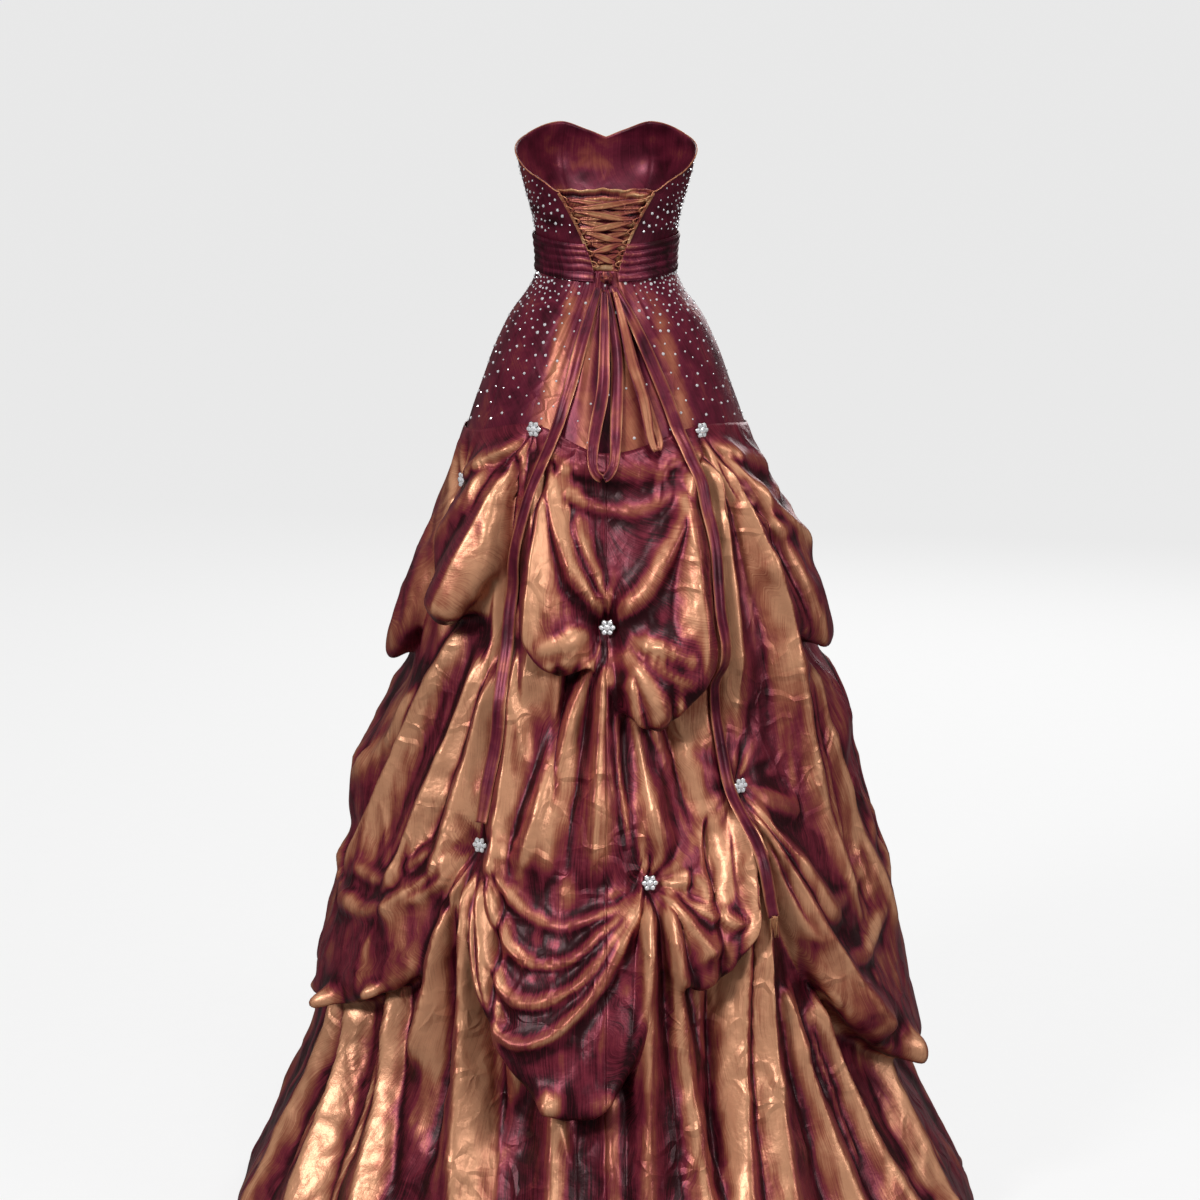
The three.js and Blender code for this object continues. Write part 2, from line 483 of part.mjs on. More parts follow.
// The fitted yoke from the waist to under the draped skirt, in a back and a front half.
const YOKE = { top: -13, tuckedIn: 12, rows: 7, gathers: 7, gatherHigh: 2.6, gatherReach: 46 };
function yokePoint(turn, t) {
  const bottom = look(SKIRT_TOP, "turn", "z", wrap(turn)) - YOKE.tuckedIn;
  const z = lerp(YOKE.top, bottom, t);
  const near = smooth(1 - Math.abs(wrap(turn)) / YOKE.gatherReach);
  const wave = 0.5 - 0.5 * Math.cos((2 * Math.PI * YOKE.gathers * wrap(turn)) / (2 * YOKE.gatherReach));
  return [z, plainRadius(turn, z) - YOKE.gatherHigh * near * wave * Math.sin(Math.PI * Math.min(t * 1.2, 1))];
}
function addYoke() {
  const halves = [
    { name: "yoke_back", from: -90, to: 90, cells: 28 },
    { name: "yoke_front", from: 90, to: 270, cells: 14 },
  ];
  for (const half of halves) {
    const turns = steps(half.from, half.to, half.cells);
    const grid = turns.map((turn, i) =>
      steps(0, 1, YOKE.rows).map((t) => {
        const [z, radius] = yokePoint(turn, t);
        const shift = i === 0 ? SEAM / 2 : i === turns.length - 1 ? -SEAM / 2 : 0;
        return place(turn, radius, z).addScaledVector(sideways(turn), shift);
      }),
    );
    add(half.name, wall(grid, CLOTH, [half.from, half.to]), BEADED);
  }
}

// The bodice: a front with cups, and two backs that end at the V of the lacing.
const OPENING_RISING = [...OPENING].reverse();
const openingTurn = (z) => look(OPENING_RISING, "z", "turn", z);
const neckZ = (turn) => look(NECK, "turn", "z", Math.abs(wrap(turn)));
function bodiceRadius(turn, z) {
  let radius = plainRadius(turn, z);
  for (const sign of [-1, 1]) {
    const across = wrap(turn - 180 - sign * CUP.turn) * RAD * plainRadius(180, z);
    radius += CUP.high * Math.exp(-((across / CUP.wide) ** 2) - ((z - CUP.z) / CUP.tall) ** 2);
  }
  return radius;
}
const BODICE = { bottom: -12.7, frontFrom: 96, rows: 7, backCells: 8, frontCells: 22 };
function addBodice() {
  const column = (turnAt, shift) =>
    steps(0, 1, BODICE.rows).map((t) => {
      const z = lerp(neckZ(turnAt(1)), BODICE.bottom, t);
      const turn = turnAt(1 - t, z);
      const radius = bodiceRadius(turn, z);
      return place(turn, radius, z).addScaledVector(sideways(turn), shift);
    });
  for (const [name, sign] of [["bodice_back_left", 1], ["bodice_back_right", -1]]) {
    const grid = steps(0, 1, BODICE.backCells).map((s) => {
      const side = BODICE.frontFrom;
      const turnAt = (up, z = neckZ(openingTurn(88))) => sign * lerp(openingTurn(z), side, s);
      return column(turnAt, s === 1 ? (-sign * SEAM) / 2 : 0);
    });
    const seam = [sign * openingTurn(40), sign * BODICE.frontFrom];
    if (sign < 0) [grid, seam].forEach((list) => list.reverse());
    add(name, wall(grid, CLOTH, seam), BEADED);
  }
  const turns = steps(BODICE.frontFrom, 360 - BODICE.frontFrom, BODICE.frontCells);
  const front = turns.map((turn, i) => {
    const shift = i === 0 ? SEAM / 2 : i === turns.length - 1 ? -SEAM / 2 : 0;
    return column(() => turn, shift);
  });
  add("bodice_front", wall(front, CLOTH, [turns[0], turns.at(-1)]), BEADED);
}

// The pleated waistband, from one lacing edge round the front to the other.
function addBand() {
  const rows = 2 * BAND.pleats;
  const grid = steps(0, 1, BAND.cells).map((s) =>
    steps(0, 1, rows).map((t, j) => {
      const sag = BAND.dip * Math.max(0, Math.cos(2 * Math.PI * s)) ** 2;
      const z = lerp(BAND.top, BAND.bottom, t) - sag;
      const turn = lerp(openingTurn(z), 360 - openingTurn(z), s);
      const pleat = j % 2 === 1 ? BAND.pleatHigh : 0;
      return place(turn, bodiceRadius(turn, z) + BAND.out + pleat, z);
    }),
  );
  add("waistband", wall(grid, CLOTH), BAND_CLOTH);
}

// The modesty panel that shows behind the lacing, with a soft gathered top.
function addPanel() {
  const grid = steps(-1, 1, 12).map((s) =>
    steps(0, 1, 8).map((t) => {
      const z = lerp(PANEL.top, PANEL.bottom, t);
      const turn = s * Math.min(PANEL.reach, openingTurn(z) + 7);
      const wave = PANEL.wave * Math.cos(t * 8 * Math.PI);
      return place(turn, plainRadius(turn, z) - PANEL.inset - PANEL.wave + wave, z);
    }),
  );
  add("modesty_panel", wall(grid, CLOTH - 0.6), GOLD_SIDE);
}

// A flat ribbon swept along a line. acrossAt(point, along) says which way its width runs.
function ribbon(line, widthAt, thick, acrossAt) {
  const count = line.length;
  const points = [];
  for (let i = 0; i < count; i += 1) {
    const ahead = line[Math.min(i + 1, count - 1)];
    const behind = line[Math.max(i - 1, 0)];
    const along = ahead.clone().sub(behind).normalize();
    const across = acrossAt(line[i], along);
    across.addScaledVector(along, -across.dot(along)).normalize();
    const out = across.clone().cross(along).multiplyScalar(thick / 2);
    across.multiplyScalar(widthAt(i) / 2);
    for (const [p, q] of [[-1, -1], [1, -1], [1, 1], [-1, 1]]) {
      points.push(line[i].clone().addScaledVector(across, p).addScaledVector(out, q));
    }
  }
  const index = [];
  const quad = (a, b, c, d) => index.push(a, b, c, a, c, d);
  for (let i = 0; i < count - 1; i += 1) {
    for (let k = 0; k < 4; k += 1) {
      const [near, next] = [4 * i + k, 4 * i + ((k + 1) % 4)];
      quad(near, near + 4, next + 4, next);
    }
  }
  const last = 4 * (count - 1);
  quad(0, 1, 2, 3);
  quad(last + 3, last + 2, last + 1, last);
  return meshGeometry(points, index);
}

const level = (point) => new THREE.Vector3(point.x, point.y, 0).normalize();
const flatOnBody = (point, along) => along.clone().cross(level(point));
const levelAcross = (point) => new THREE.Vector3(point.y, -point.x, 0);

// Two ribbons zigzag down the V. Each turns back narrowly at its loops, and one crosses over the other.
function addLacing() {
  const strands = [
    { name: "lace_under", start: 1, lift: LACING.lift },
    { name: "lace_over", start: -1, lift: LACING.lift + LACING.over },
  ];
  const pitch = (LACING.top - LACING.bottom) / (LACING.loops - 1);
  for (const strand of strands) {
    const path = [];
    const widths = [];
    const put = (x, z, lift, wide) => {
      const y = Math.sqrt(1 - (x / look(RISING, "z", "side", z)) ** 2) * look(RISING, "z", "back", z);
      const point = new THREE.Vector3(x, y, z);
      path.push(point.addScaledVector(level(point), lift));
      widths.push(wide);
    };
    for (let i = 0; i < LACING.loops - 1; i += 1) {
      const [z0, z1] = [LACING.top - i * pitch, LACING.top - (i + 1) * pitch];
      const sign = i % 2 === 0 ? strand.start : -strand.start;
      const x0 = sign * (openingTurn(z0) * RAD * plainRadius(0, z0) - LACING.in);
      const x1 = -sign * (openingTurn(z1) * RAD * plainRadius(0, z1) - LACING.in);
      if (i > 0) put(x0, z0, strand.lift, LACING.narrow);
      put(x0 - sign * LACING.turn, z0 - LACING.turn / 2, strand.lift - LACING.rise, LACING.narrow);
      for (const t of [0.22, 0.4, 0.6, 0.78]) {
        const rise = strand.lift + LACING.rise * (2 * t - 1);
        put(lerp(x0, x1, t), lerp(z0, z1, t), rise, LACING.wide * (t === 0.22 || t === 0.78 ? 0.72 : 1));
      }
      put(x1 + sign * LACING.turn, z1 + LACING.turn / 2, strand.lift + LACING.rise, LACING.narrow);
    }
    add(strand.name, ribbon(path, (i) => widths[i], LACE, flatOnBody), GOLD_SIDE);
  }
}

// The tapes along the V, scalloped into a loop over each turn of the lacing.
function addTapes() {
  const cells = 4 * TAPE.loops;
  const pitch = (LACING.top - LACING.bottom) / (LACING.loops - 1);
  for (const [name, sign] of [["loop_tape_left", 1], ["loop_tape_right", -1]]) {
    const grid = [0, 1].map((side) =>
      steps(LACING.top + pitch / 2, LACING.top + pitch / 2 - TAPE.loops * pitch, cells).map((z) => {
        const loop = 0.5 - 0.5 * Math.cos((2 * Math.PI * (LACING.top + pitch / 2 - z)) / pitch);
        const edge = openingTurn(z) * RAD * plainRadius(0, z);
        const x = edge + (side === 0 ? TAPE.on : -TAPE.least - TAPE.reach * loop);
        const turn = (sign * x) / (RAD * plainRadius(0, z));
        const lift = side === 0 ? SEAM + LACE : TAPE.over;
        return place(turn, plainRadius(turn, z) + lift, z);
      }),
    );
    add(name, wall(sign > 0 ? grid.reverse() : grid, LACE), GOLD_SIDE);
  }
}

// Places along a tie: turn and height on the gown, how far above it where that isn't a tail's usual, and how
// wide the ribbon is.
const TAILS = {
  tie_tail_right: [
    { turn: -6, z: -31, wide: 9 },
    { turn: -14, z: -60, wide: 14 },
    { turn: -21, z: -100, wide: 17 },
    { turn: -27, z: -148, lift: 0, wide: 18 },
    { turn: -30.5, z: -192, wide: 18 },
    { turn: -32, z: -236, wide: 17 },
    { turn: -34, z: -300, wide: 17 },
    { turn: -34, z: -374, wide: 17 },
    { turn: -32.5, z: -440, wide: 18 },
    { turn: -32, z: -500, wide: 18 },
    { turn: -32.5, z: -560, wide: 18 },
    { turn: -33, z: -624, wide: 18 },
    { turn: -34, z: -738, wide: 18 },
    { turn: -35.5, z: -822, wide: 17 },
  ],
  tie_tail_left: [
    { turn: 6, z: -31, wide: 9 },
    { turn: 10, z: -60, wide: 13 },
    { turn: 14, z: -100, wide: 16 },
    { turn: 17.5, z: -147, lift: 0, wide: 17 },
    { turn: 20.5, z: -192, wide: 17 },
    { turn: 23, z: -242, wide: 17 },
    { turn: 26, z: -300, wide: 17 },
    { turn: 29, z: -364, wide: 17 },
    { turn: 30.5, z: -423, wide: 18 },
    { turn: 30, z: -490, wide: 18 },
    { turn: 29, z: -562, wide: 18 },
    { turn: 30.5, z: -648, wide: 18 },
    { turn: 31, z: -705, wide: 17 },
  ],
};
const BOWS = {
  bow_loop_centre: [
    { turn: 0.5, z: -31, lift: 3, wide: 7 },
    { turn: -3.5, z: -70, lift: 1.2, wide: 12 },
    { turn: -6, z: -120, lift: 0.3, wide: 15 },
    { turn: -5, z: -170, lift: 0.3, wide: 16 },
    { turn: -4, z: -212, lift: 4.5, wide: 15 },
    { turn: -3, z: -248, lift: 6, wide: 12 },
    { turn: 1, z: -266, lift: 10, wide: 11 },
    { turn: 5, z: -250, lift: 14, wide: 12 },
    { turn: 4.5, z: -205, lift: 14, wide: 16 },
    { turn: 1.5, z: -160, lift: 9, wide: 16 },
    { turn: 1, z: -115, lift: 9, wide: 14 },
    { turn: 1, z: -70, lift: 10, wide: 12 },
    { turn: 1.5, z: -32, lift: 10, wide: 7 },
  ],
  bow_loop_right: [
    { turn: -6, z: -34, lift: 6, wide: 6 },
    { turn: -10, z: -70, lift: 5, wide: 11 },
    { turn: -13.2, z: -112, lift: 2.6, wide: 14 },
    { turn: -18, z: -170, lift: 0.3, wide: 16 },
    { turn: -22.5, z: -218, lift: 1.5, wide: 10 },
    { turn: -20.2, z: -234, lift: 7.5, wide: 8 },
    { turn: -17.5, z: -218, lift: 13, wide: 11 },
    { turn: -17, z: -170, lift: 11, wide: 16 },
    { turn: -12.5, z: -120, lift: 11, wide: 14 },
    { turn: -10, z: -75, lift: 13, wide: 10 },
    { turn: -6.5, z: -38, lift: 13, wide: 6 },
  ],
};

// The ties: flat ribbons that hang over whatever of the gown lies below them.
function addTies() {
  const resting = gown.children.filter((mesh) => mesh.name.startsWith("skirt") || mesh.name.startsWith("yoke"));
  for (const [name, stations] of Object.entries({ ...TAILS, ...BOWS })) {
    const numbered = stations.map((station, i) => ({ lift: TAIL_LIFT, ...station, i }));
    const long = stations.reduce((sum, { z }, i) => sum + (i > 0 ? Math.abs(z - stations[i - 1].z) : 0), 0);
    const along = steps(0, stations.length - 1, Math.round(long / TIE_STEP));
    const [turns, heights, lifts, widths] = ["turn", "z", "lift", "wide"].map((key) =>
      along.map((i) => look(numbered, "i", key, i)),
    );
    const path = turns.map((turn, k) => {
      const probe = new THREE.BoxGeometry(widths[k] + 2, TIE_STEP / 4, PROBE).translate(0, 0, PROBE / 2);
      const rest = seatRadius(resting, turn, heights[k], probe);
      return place(turn, rest + lifts[k], heights[k]);
    });
    add(name, ribbon(path, (i) => widths[i], LACE, levelAcross), BEADED);
  }
  const knot = new THREE.SphereGeometry(1, 12, 8);
  knot.scale(KNOT.wide / 2, KNOT.deep / 2, KNOT.high / 2);
  knot.translate(0, plainRadius(0, KNOT.z) + KNOT.deep / 2 + KNOT.lift, KNOT.z);
  add("tie_knot", knot, GOLD_SIDE);
}

// A brooch: a flower of petals with a raised centre stone, lying flat on the cloth.
function addBrooches() {
  const outline = new THREE.Shape();
  const corners = BROOCH.petals * 3;
  for (let i = 0; i < corners; i += 1) {
    const angle = (2 * Math.PI * i) / corners;
    const radius = BROOCH.radius - BROOCH.notch * (0.5 - 0.5 * Math.cos(BROOCH.petals * angle));
    const point = [radius * Math.cos(angle), radius * Math.sin(angle)];
    if (i === 0) outline.moveTo(...point);
    else outline.lineTo(...point);
  }
  const flower = new THREE.ExtrudeGeometry(outline, { depth: BROOCH.thick, bevelEnabled: false });
  const probe = new THREE.ExtrudeGeometry(outline, { depth: PROBE, bevelEnabled: false });
  const stone = new THREE.CylinderGeometry(BROOCH.stone * 0.6, BROOCH.stone, BROOCH.raised + 1, 8);
  stone.rotateX(Math.PI / 2).translate(0, 0, BROOCH.thick + (BROOCH.raised - 1) / 2);
  const shape = geometryOf(solidOf(flower).add(solidOf(stone)));
  const resting = [...gown.children];
  for (const pin of BROOCHES) {
    const radius = seatRadius(resting, pin.turn, pin.z, probe) + SEAM;
    const mesh = new THREE.Mesh(shape, CRYSTAL);
    mesh.name = `brooch_${pin.name}`;
    mesh.position.copy(place(pin.turn, radius, pin.z));
    mesh.up.set(0, 0, 1);
    mesh.lookAt(place(pin.turn, 2 * radius, pin.z));
    gown.add(mesh);
  }
}

// How far out a flat thing rests on some meshes at a turn and height. shape is its outline drawn out long.
function seatRadius(resting, turn, z, shape) {
  const out = place(turn, 1, 0);
  const aim = new THREE.Object3D();
  aim.up.set(0, 0, 1);
  aim.lookAt(out);
  const start = place(turn, plainRadius(turn, z) - PROBE / 2, z);
  const probe = shape.clone().applyMatrix4(new THREE.Matrix4().compose(start, aim.quaternion, aim.scale));
  const probeBox = new THREE.Box3().setFromBufferAttribute(probe.attributes.position);
  const core = solidOf(probe);
  let most = 0;
  for (const mesh of resting) {
    const box = new THREE.Box3().setFromBufferAttribute(mesh.geometry.attributes.position);
    if (!box.intersectsBox(probeBox)) continue;
    const met = core.intersect(solidOf(mesh.geometry)).getMesh().vertProperties;
    for (let i = 0; i < met.length; i += 3) most = Math.max(most, met[i] * out.x + met[i + 1] * out.y);
  }
  return most;
}

addSkirt();
addYoke();
addBrooches();
addBodice();
addBand();
addPanel();
addLacing();
addTapes();
addTies();

export default gown;
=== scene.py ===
"""The looks of a strapless pick-up ball gown with a lace-up corset back, worn by nobody, as it hangs.

Lengths in the tables are millimetres and turns are degrees about Z: 0 is the centre back, 90 the
wearer's left side and 180 the centre front. Blender's objects are in metres.
"""

import logging
import math
from collections.abc import Callable, Iterable
from dataclasses import dataclass, field, replace
from enum import Enum

import bpy
import numpy as np
from bpy.types import ID, GeometryNodeTree, Material, Mesh, Node, NodeSocket, NodeTree, Object
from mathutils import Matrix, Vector

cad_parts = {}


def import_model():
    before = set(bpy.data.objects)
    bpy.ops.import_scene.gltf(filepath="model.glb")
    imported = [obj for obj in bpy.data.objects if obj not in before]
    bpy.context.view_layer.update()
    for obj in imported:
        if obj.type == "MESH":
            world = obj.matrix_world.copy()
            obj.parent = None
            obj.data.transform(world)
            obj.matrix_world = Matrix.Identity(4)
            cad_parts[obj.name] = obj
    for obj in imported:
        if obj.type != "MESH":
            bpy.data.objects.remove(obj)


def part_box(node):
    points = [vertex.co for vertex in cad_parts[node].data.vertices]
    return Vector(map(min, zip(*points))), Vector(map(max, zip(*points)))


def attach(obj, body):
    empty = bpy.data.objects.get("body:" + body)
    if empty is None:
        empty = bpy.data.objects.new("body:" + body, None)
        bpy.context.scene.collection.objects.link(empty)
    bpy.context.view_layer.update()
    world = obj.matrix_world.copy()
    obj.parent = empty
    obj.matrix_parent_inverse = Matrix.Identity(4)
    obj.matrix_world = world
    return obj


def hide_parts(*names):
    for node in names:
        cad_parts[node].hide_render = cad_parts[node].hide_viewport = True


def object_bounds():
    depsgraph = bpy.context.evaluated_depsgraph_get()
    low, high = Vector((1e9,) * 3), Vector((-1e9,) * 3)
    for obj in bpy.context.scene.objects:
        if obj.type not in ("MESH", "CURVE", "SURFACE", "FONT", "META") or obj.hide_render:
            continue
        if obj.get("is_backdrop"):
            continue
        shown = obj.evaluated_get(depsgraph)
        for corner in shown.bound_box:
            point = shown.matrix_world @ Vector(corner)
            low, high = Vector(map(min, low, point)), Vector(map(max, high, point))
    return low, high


MM = 0.001
HEM_Z = -1300.0
SKIRT_OUT = 3.0  # how far the draped skirt lies outside the yoke, mm
DEGREE = math.radians(1)
LOG = logging.getLogger("gown")


@dataclass(frozen=True)
class Swag:
    """A swag between two pick-ups, with its sag, swell and the depth its bottom turns back in."""

    start_turn: float
    end_turn: float
    z0: float
    z1: float
    drop: float
    square: float
    lean: float
    belly: float
    tuck: float
    start: float
    end: float


@dataclass(frozen=True)
class Fold:
    """A raised fold, or a groove where high is negative, from one place on the skirt to another."""

    a0: float
    z0: float
    a1: float
    z1: float
    wide0: float
    wide1: float
    high: float
    bow: float
    fade: float


@dataclass(frozen=True)
class Pin:
    """A pick-up, held by a brooch, and how deep the cloth is drawn in round it."""

    name: str
    turn: float
    z: float
    dimple: float


BODY_SECTIONS = (
    (200, 121, 99, 112), (165, 121, 99, 113), (135, 118, 97, 116), (100, 110, 92, 112),
    (60, 99, 86, 97), (30, 93, 82, 89), (0, 90, 80, 85), (-20, 92, 82, 87),
    (-45, 104, 94, 96), (-75, 126, 112, 110), (-115, 146, 131, 125), (-160, 163, 149, 140),
    (-205, 179, 166, 154), (-250, 192, 180, 167), (-390, 217, 214, 200), (-560, 264, 251, 236),
    (-815, 338, 322, 303), (-985, 379, 361, 340), (-1120, 424, 404, 380), (-1300, 508, 482, 454),
)  # height, half width, half depth behind and in front of level sections of the gown
SKIRT_TOP = (
    (-180, -232), (-137.5, -214), (-100, -222), (-42.5, -208), (0, -236),
    (32, -204), (70, -222), (110, -222), (148, -212), (180, -232),
)  # turn, height of the skirt's top edge
UPPER_SWAGS = (
    Swag(-180, -137.5, -490, -290, 140, 0.8, 1, 42, 44, 0.4, 0.45),
    Swag(-137.5, -100, -290, -370, 165, 0.8, 1, 46, 46, 0.4, 0.4),
    Swag(-100, -42.5, -370, -262, 185, 0.7, 1, 75, 54, 0.28, 0.75),
    Swag(-42.5, 0, -262, -486, 182, 0.65, 0.9, 38, 48, 0.55, 0.2),
    Swag(0, 32, -486, -258, 142, 0.85, 1.5, 32, 44, 0.25, 0.5),
    Swag(32, 70, -258, -340, 165, 0.65, 0.95, 52, 54, 0.3, 0.35),
    Swag(70, 110, -340, -350, 190, 0.75, 1, 46, 48, 0.35, 0.35),
    Swag(110, 148, -350, -290, 155, 0.8, 1, 46, 44, 0.4, 0.5),
    Swag(148, 180, -290, -490, 130, 0.8, 0.9, 38, 42, 0.5, 0.4),
)
SIDE_SWAGS = (
    Swag(-130, -66, -570, -570, 74, 0.8, 1, 57, 9, 0.4, 0.4),
    Swag(70, 126, -655, -655, 100, 0.8, 1, 40, 15, 0.4, 0.4),
)
LOWER_SWAGS = (
    Swag(-180, -143, -850, -730, 140, 0.8, 1, 42, 42, 0.4, 0.5),
    Swag(-143, -112, -730, -810, 170, 0.8, 1, 46, 46, 0.4, 0.35),
    Swag(-112, -37, -810, -706, 304, 0.68, 1, 40, 50, 0.22, 0.26),
    Swag(-37, -10, -706, -808, 130, 0.65, 1, 42, 44, 0.36, 0.36),
    Swag(-10, 32, -808, -776, 248, 0.8, 0.75, 56, 56, 0.26, 0.28),
    Swag(32, 104, -776, -840, 168, 0.58, 1, 33, 52, 0.3, 0.26),
    Swag(104, 148, -840, -800, 145, 0.8, 1, 46, 46, 0.3, 0.45),
    Swag(148, 180, -800, -850, 180, 0.8, 1, 48, 50, 0.3, 0.3),
)

# The main folds of the back and sides, as they show in the photograph: turn and height of both
# ends, half widths there, height, sideways curve and the share over which the fold dies.
BACK_FOLDS = (
    Fold(34, -214, 68, -284, 9, 18, 16, 6, 0.3),
    Fold(36, -262, 44, -460, 20, 56, 22, 0, 0.1),
    Fold(44, -262, 68, -400, 18, 40, 16, 0, 0.2),
    Fold(28, -223, 22, -470, 10, 22, 22, 0, 0.2),
    Fold(24, -250, 1, -446, 18, 10, 22, -10, 0.1),
    Fold(14, -300, -1, -440, 16, 8, 16, 0, 0.1),
    Fold(20, -268, 21, -600, 18, 32, 26, 4, 0.3),
    Fold(18, -262, -16, -276, 14, 14, 16, 26, 0.2),
    Fold(25, -290, -28, -296, 14, 14, 14, 62, 0.2),
    Fold(-36, -240, -3, -446, 18, 10, 22, 14, 0.1),
    Fold(-30, -262, -29, -560, 16, 28, 26, 0, 0.3),
    Fold(-43, -236, -43, -600, 9, 30, 30, 0, 0.3),
    Fold(-46, -236, -66, -640, 9, 20, 22, -8, 0.3),
    Fold(-49, -238, -84, -400, 10, 26, 20, -10, 0.2),
    Fold(-45, -219, -86, -280, 9, 22, 14, -10, 0.3),
    Fold(2, -459, 22, -484, 9, 20, 20, 0, 0.2),
    Fold(-3, -460, -27, -508, 10, 22, 22, 0, 0.2),
    Fold(-3, -466, -15, -572, 10, 24, 20, 0, 0.1),
    Fold(0, -480, 1, -790, 10, 34, 26, 0, 0.3),
    Fold(3, -480, 19, -800, 12, 34, 28, -8, 0.25),
    Fold(-5, -490, -12, -745, 10, 24, 20, 0, 0.2),
    Fold(25, -470, 25, -800, 18, 26, 24, 0, 0.2),
    Fold(8, -740, 9, -1010, 28, 38, 7, 0, 0.2),
    Fold(-4, -740, -1, -990, 24, 32, 7, 0, 0.2),
    Fold(17, -780, 16, -970, 20, 28, 6, 0, 0.2),
    Fold(40, -490, 55, -840, 18, 24, 26, 0, 0.2),
    Fold(52, -470, 76, -860, 20, 26, 26, -10, 0.2),
    Fold(34, -500, 41, -810, 14, 24, 24, 0, 0.2),
    Fold(66, -560, 90, -740, 20, 30, 18, 0, 0.3),
    Fold(34, -729, 56, -800, 9, 20, 16, -8, 0.2),
    Fold(34, -738, 54, -862, 9, 26, 20, -10, 0.2),
    Fold(33, -750, 40, -1040, 10, 30, 32, 0, 0.2),
    Fold(32, -755, 27, -1290, 10, 40, 40, 0, 0),
    Fold(30, -760, 19, -1060, 10, 26, 26, 0, 0.2),
    Fold(-12, -766, -20, -776, 8, 14, 12, 0, 0.2),
    Fold(-12, -772, -22, -868, 9, 24, 20, 0, 0.2),
    Fold(-10, -782, -9, -1290, 10, 44, 34, 0, 0),
    Fold(-13, -782, -17, -1290, 10, 34, 30, 0, 0),
    Fold(-38, -668, -56, -712, 8, 20, 14, 0, 0.2),
    Fold(-38, -673, -57, -866, 10, 28, 24, -6, 0.2),
    Fold(-37, -680, -63, -1020, 10, 30, 26, -10, 0.1),
    Fold(-37, -682, -33, -1290, 10, 44, 40, 0, 0),
    Fold(-35, -682, -24, -1290, 10, 34, 30, 0, 0),
    Fold(-55, -460, -66, -900, 22, 34, 24, 0, 0.25),
    Fold(-72, -520, -80, -940, 20, 32, 20, 0, 0.25),
    Fold(-47, -930, -57, -1290, 24, 42, 34, 0, 0),
    Fold(-37, -900, -45, -1290, 20, 40, 32, 0, 0),
    Fold(68, -940, 60, -1290, 22, 44, 34, 0, 0),
    Fold(54, -920, 44, -1290, 18, 40, 32, 0, 0),
    Fold(12, -1000, 11, -1290, 24, 36, 26, 0, 0),
    Fold(1, -1000, 0, -1290, 24, 36, 26, 0, 0),
    Fold(-72, -1000, -72, -1290, 24, 44, 26, 0, 0),
    Fold(80, -960, 77, -1290, 24, 44, 26, 0, 0),
)
PINS = (
    Pin("upper_back_left", 32, -209, 0),
    Pin("upper_back_right", -42.5, -213, 0),
    Pin("middle_back", 0, -452, 12),
    Pin("lower_back_left", 32, -731, 14),
    Pin("lower_back_centre", -10, -768, 14),
    Pin("lower_back_right", -37, -661, 14),
    Pin("upper_side_left", 70, -288, 8),
    Pin("upper_side_right", -100, -318, 8),
    Pin("upper_front_left", 148, -218, 0),
    Pin("upper_front_right", -137.5, -220, 0),
    Pin("middle_front", 180, -449, 12),
    Pin("lower_front_left", 148, -745, 14),
    Pin("lower_front_right", -143, -675, 14),
)
OPENING = ((-14, 11), (0, 14), (30, 21), (60, 30), (88, 39))  # height, turn of the V's edge
NECK = (
    (0, 88), (40, 89), (52, 101), (68, 114), (90, 137),
    (115, 152), (148, 168), (168, 156), (180, 146),
)  # turn, height of the bodice's top edge

SECTION_Z, SECTION_SIDE, SECTION_BACK, SECTION_FRONT = np.array(BODY_SECTIONS)[::-1].T


def smooth(t: np.ndarray) -> np.ndarray:
    """A soft step from 0 to 1."""
    t = np.clip(t, 0, 1)
    return t * t * (3 - 2 * t)


def mix(p: np.ndarray, q: np.ndarray, t: np.ndarray) -> np.ndarray:
    """The value a share t of the way from p to q."""
    return p + (q - p) * t


def wrap(turn: np.ndarray) -> np.ndarray:
    """A turn brought to the range from -180 to 180."""
    return (np.asarray(turn, float) + 180) % 360 - 180


def look(keys: np.ndarray, values: np.ndarray, at: np.ndarray) -> np.ndarray:
    """Values from a table, smooth between its rows.

    Args:
        keys: the rising column that is looked along.
        values: the column that is read.
        at: where to read it.

    Returns:
        The values there, held past both ends.
    """
    keys, values = np.asarray(keys, float), np.asarray(values, float)
    last = len(keys) - 1
    at = np.clip(np.asarray(at, float), keys[0], keys[-1])
    i = np.clip(np.searchsorted(keys, at, side="left") - 1, 0, last - 1)
    before, after = np.maximum(np.arange(last + 1) - 1, 0), np.minimum(np.arange(last + 1) + 1, last)
    slope = (values[after] - values[before]) / (keys[after] - keys[before])
    span = keys[i + 1] - keys[i]
    t = (at - keys[i]) / span
    s0, s1 = slope[i] * span, slope[i + 1] * span
    rise = values[i + 1] - values[i]
    return values[i] + t * (s0 + t * (rise - s0 + (t - 1) * (s0 + s1 - 2 * rise)))


def plain_radius(turn: np.ndarray, z: np.ndarray) -> np.ndarray:
    """The outer radius of the plain body of the gown at a turn and height, mm.

    Args:
        turn: turns, degrees.
        z: heights, mm.

    Returns:
        The radii, mm.
    """
    angle = np.radians(turn)
    side = look(SECTION_Z, SECTION_SIDE, z)
    behind = look(SECTION_Z, SECTION_BACK, z)
    ahead = look(SECTION_Z, SECTION_FRONT, z)
    deep = np.where(np.cos(angle) >= 0, behind, ahead)
    return 1 / np.hypot(np.sin(angle) / side, np.cos(angle) / deep)


def place(turn: np.ndarray, radius: np.ndarray, z: np.ndarray) -> np.ndarray:
    """Points from turns, radii and heights, mm."""
    angle = np.radians(turn)
    return np.stack(np.broadcast_arrays(radius * np.sin(angle), radius * np.cos(angle), z), axis=-1)


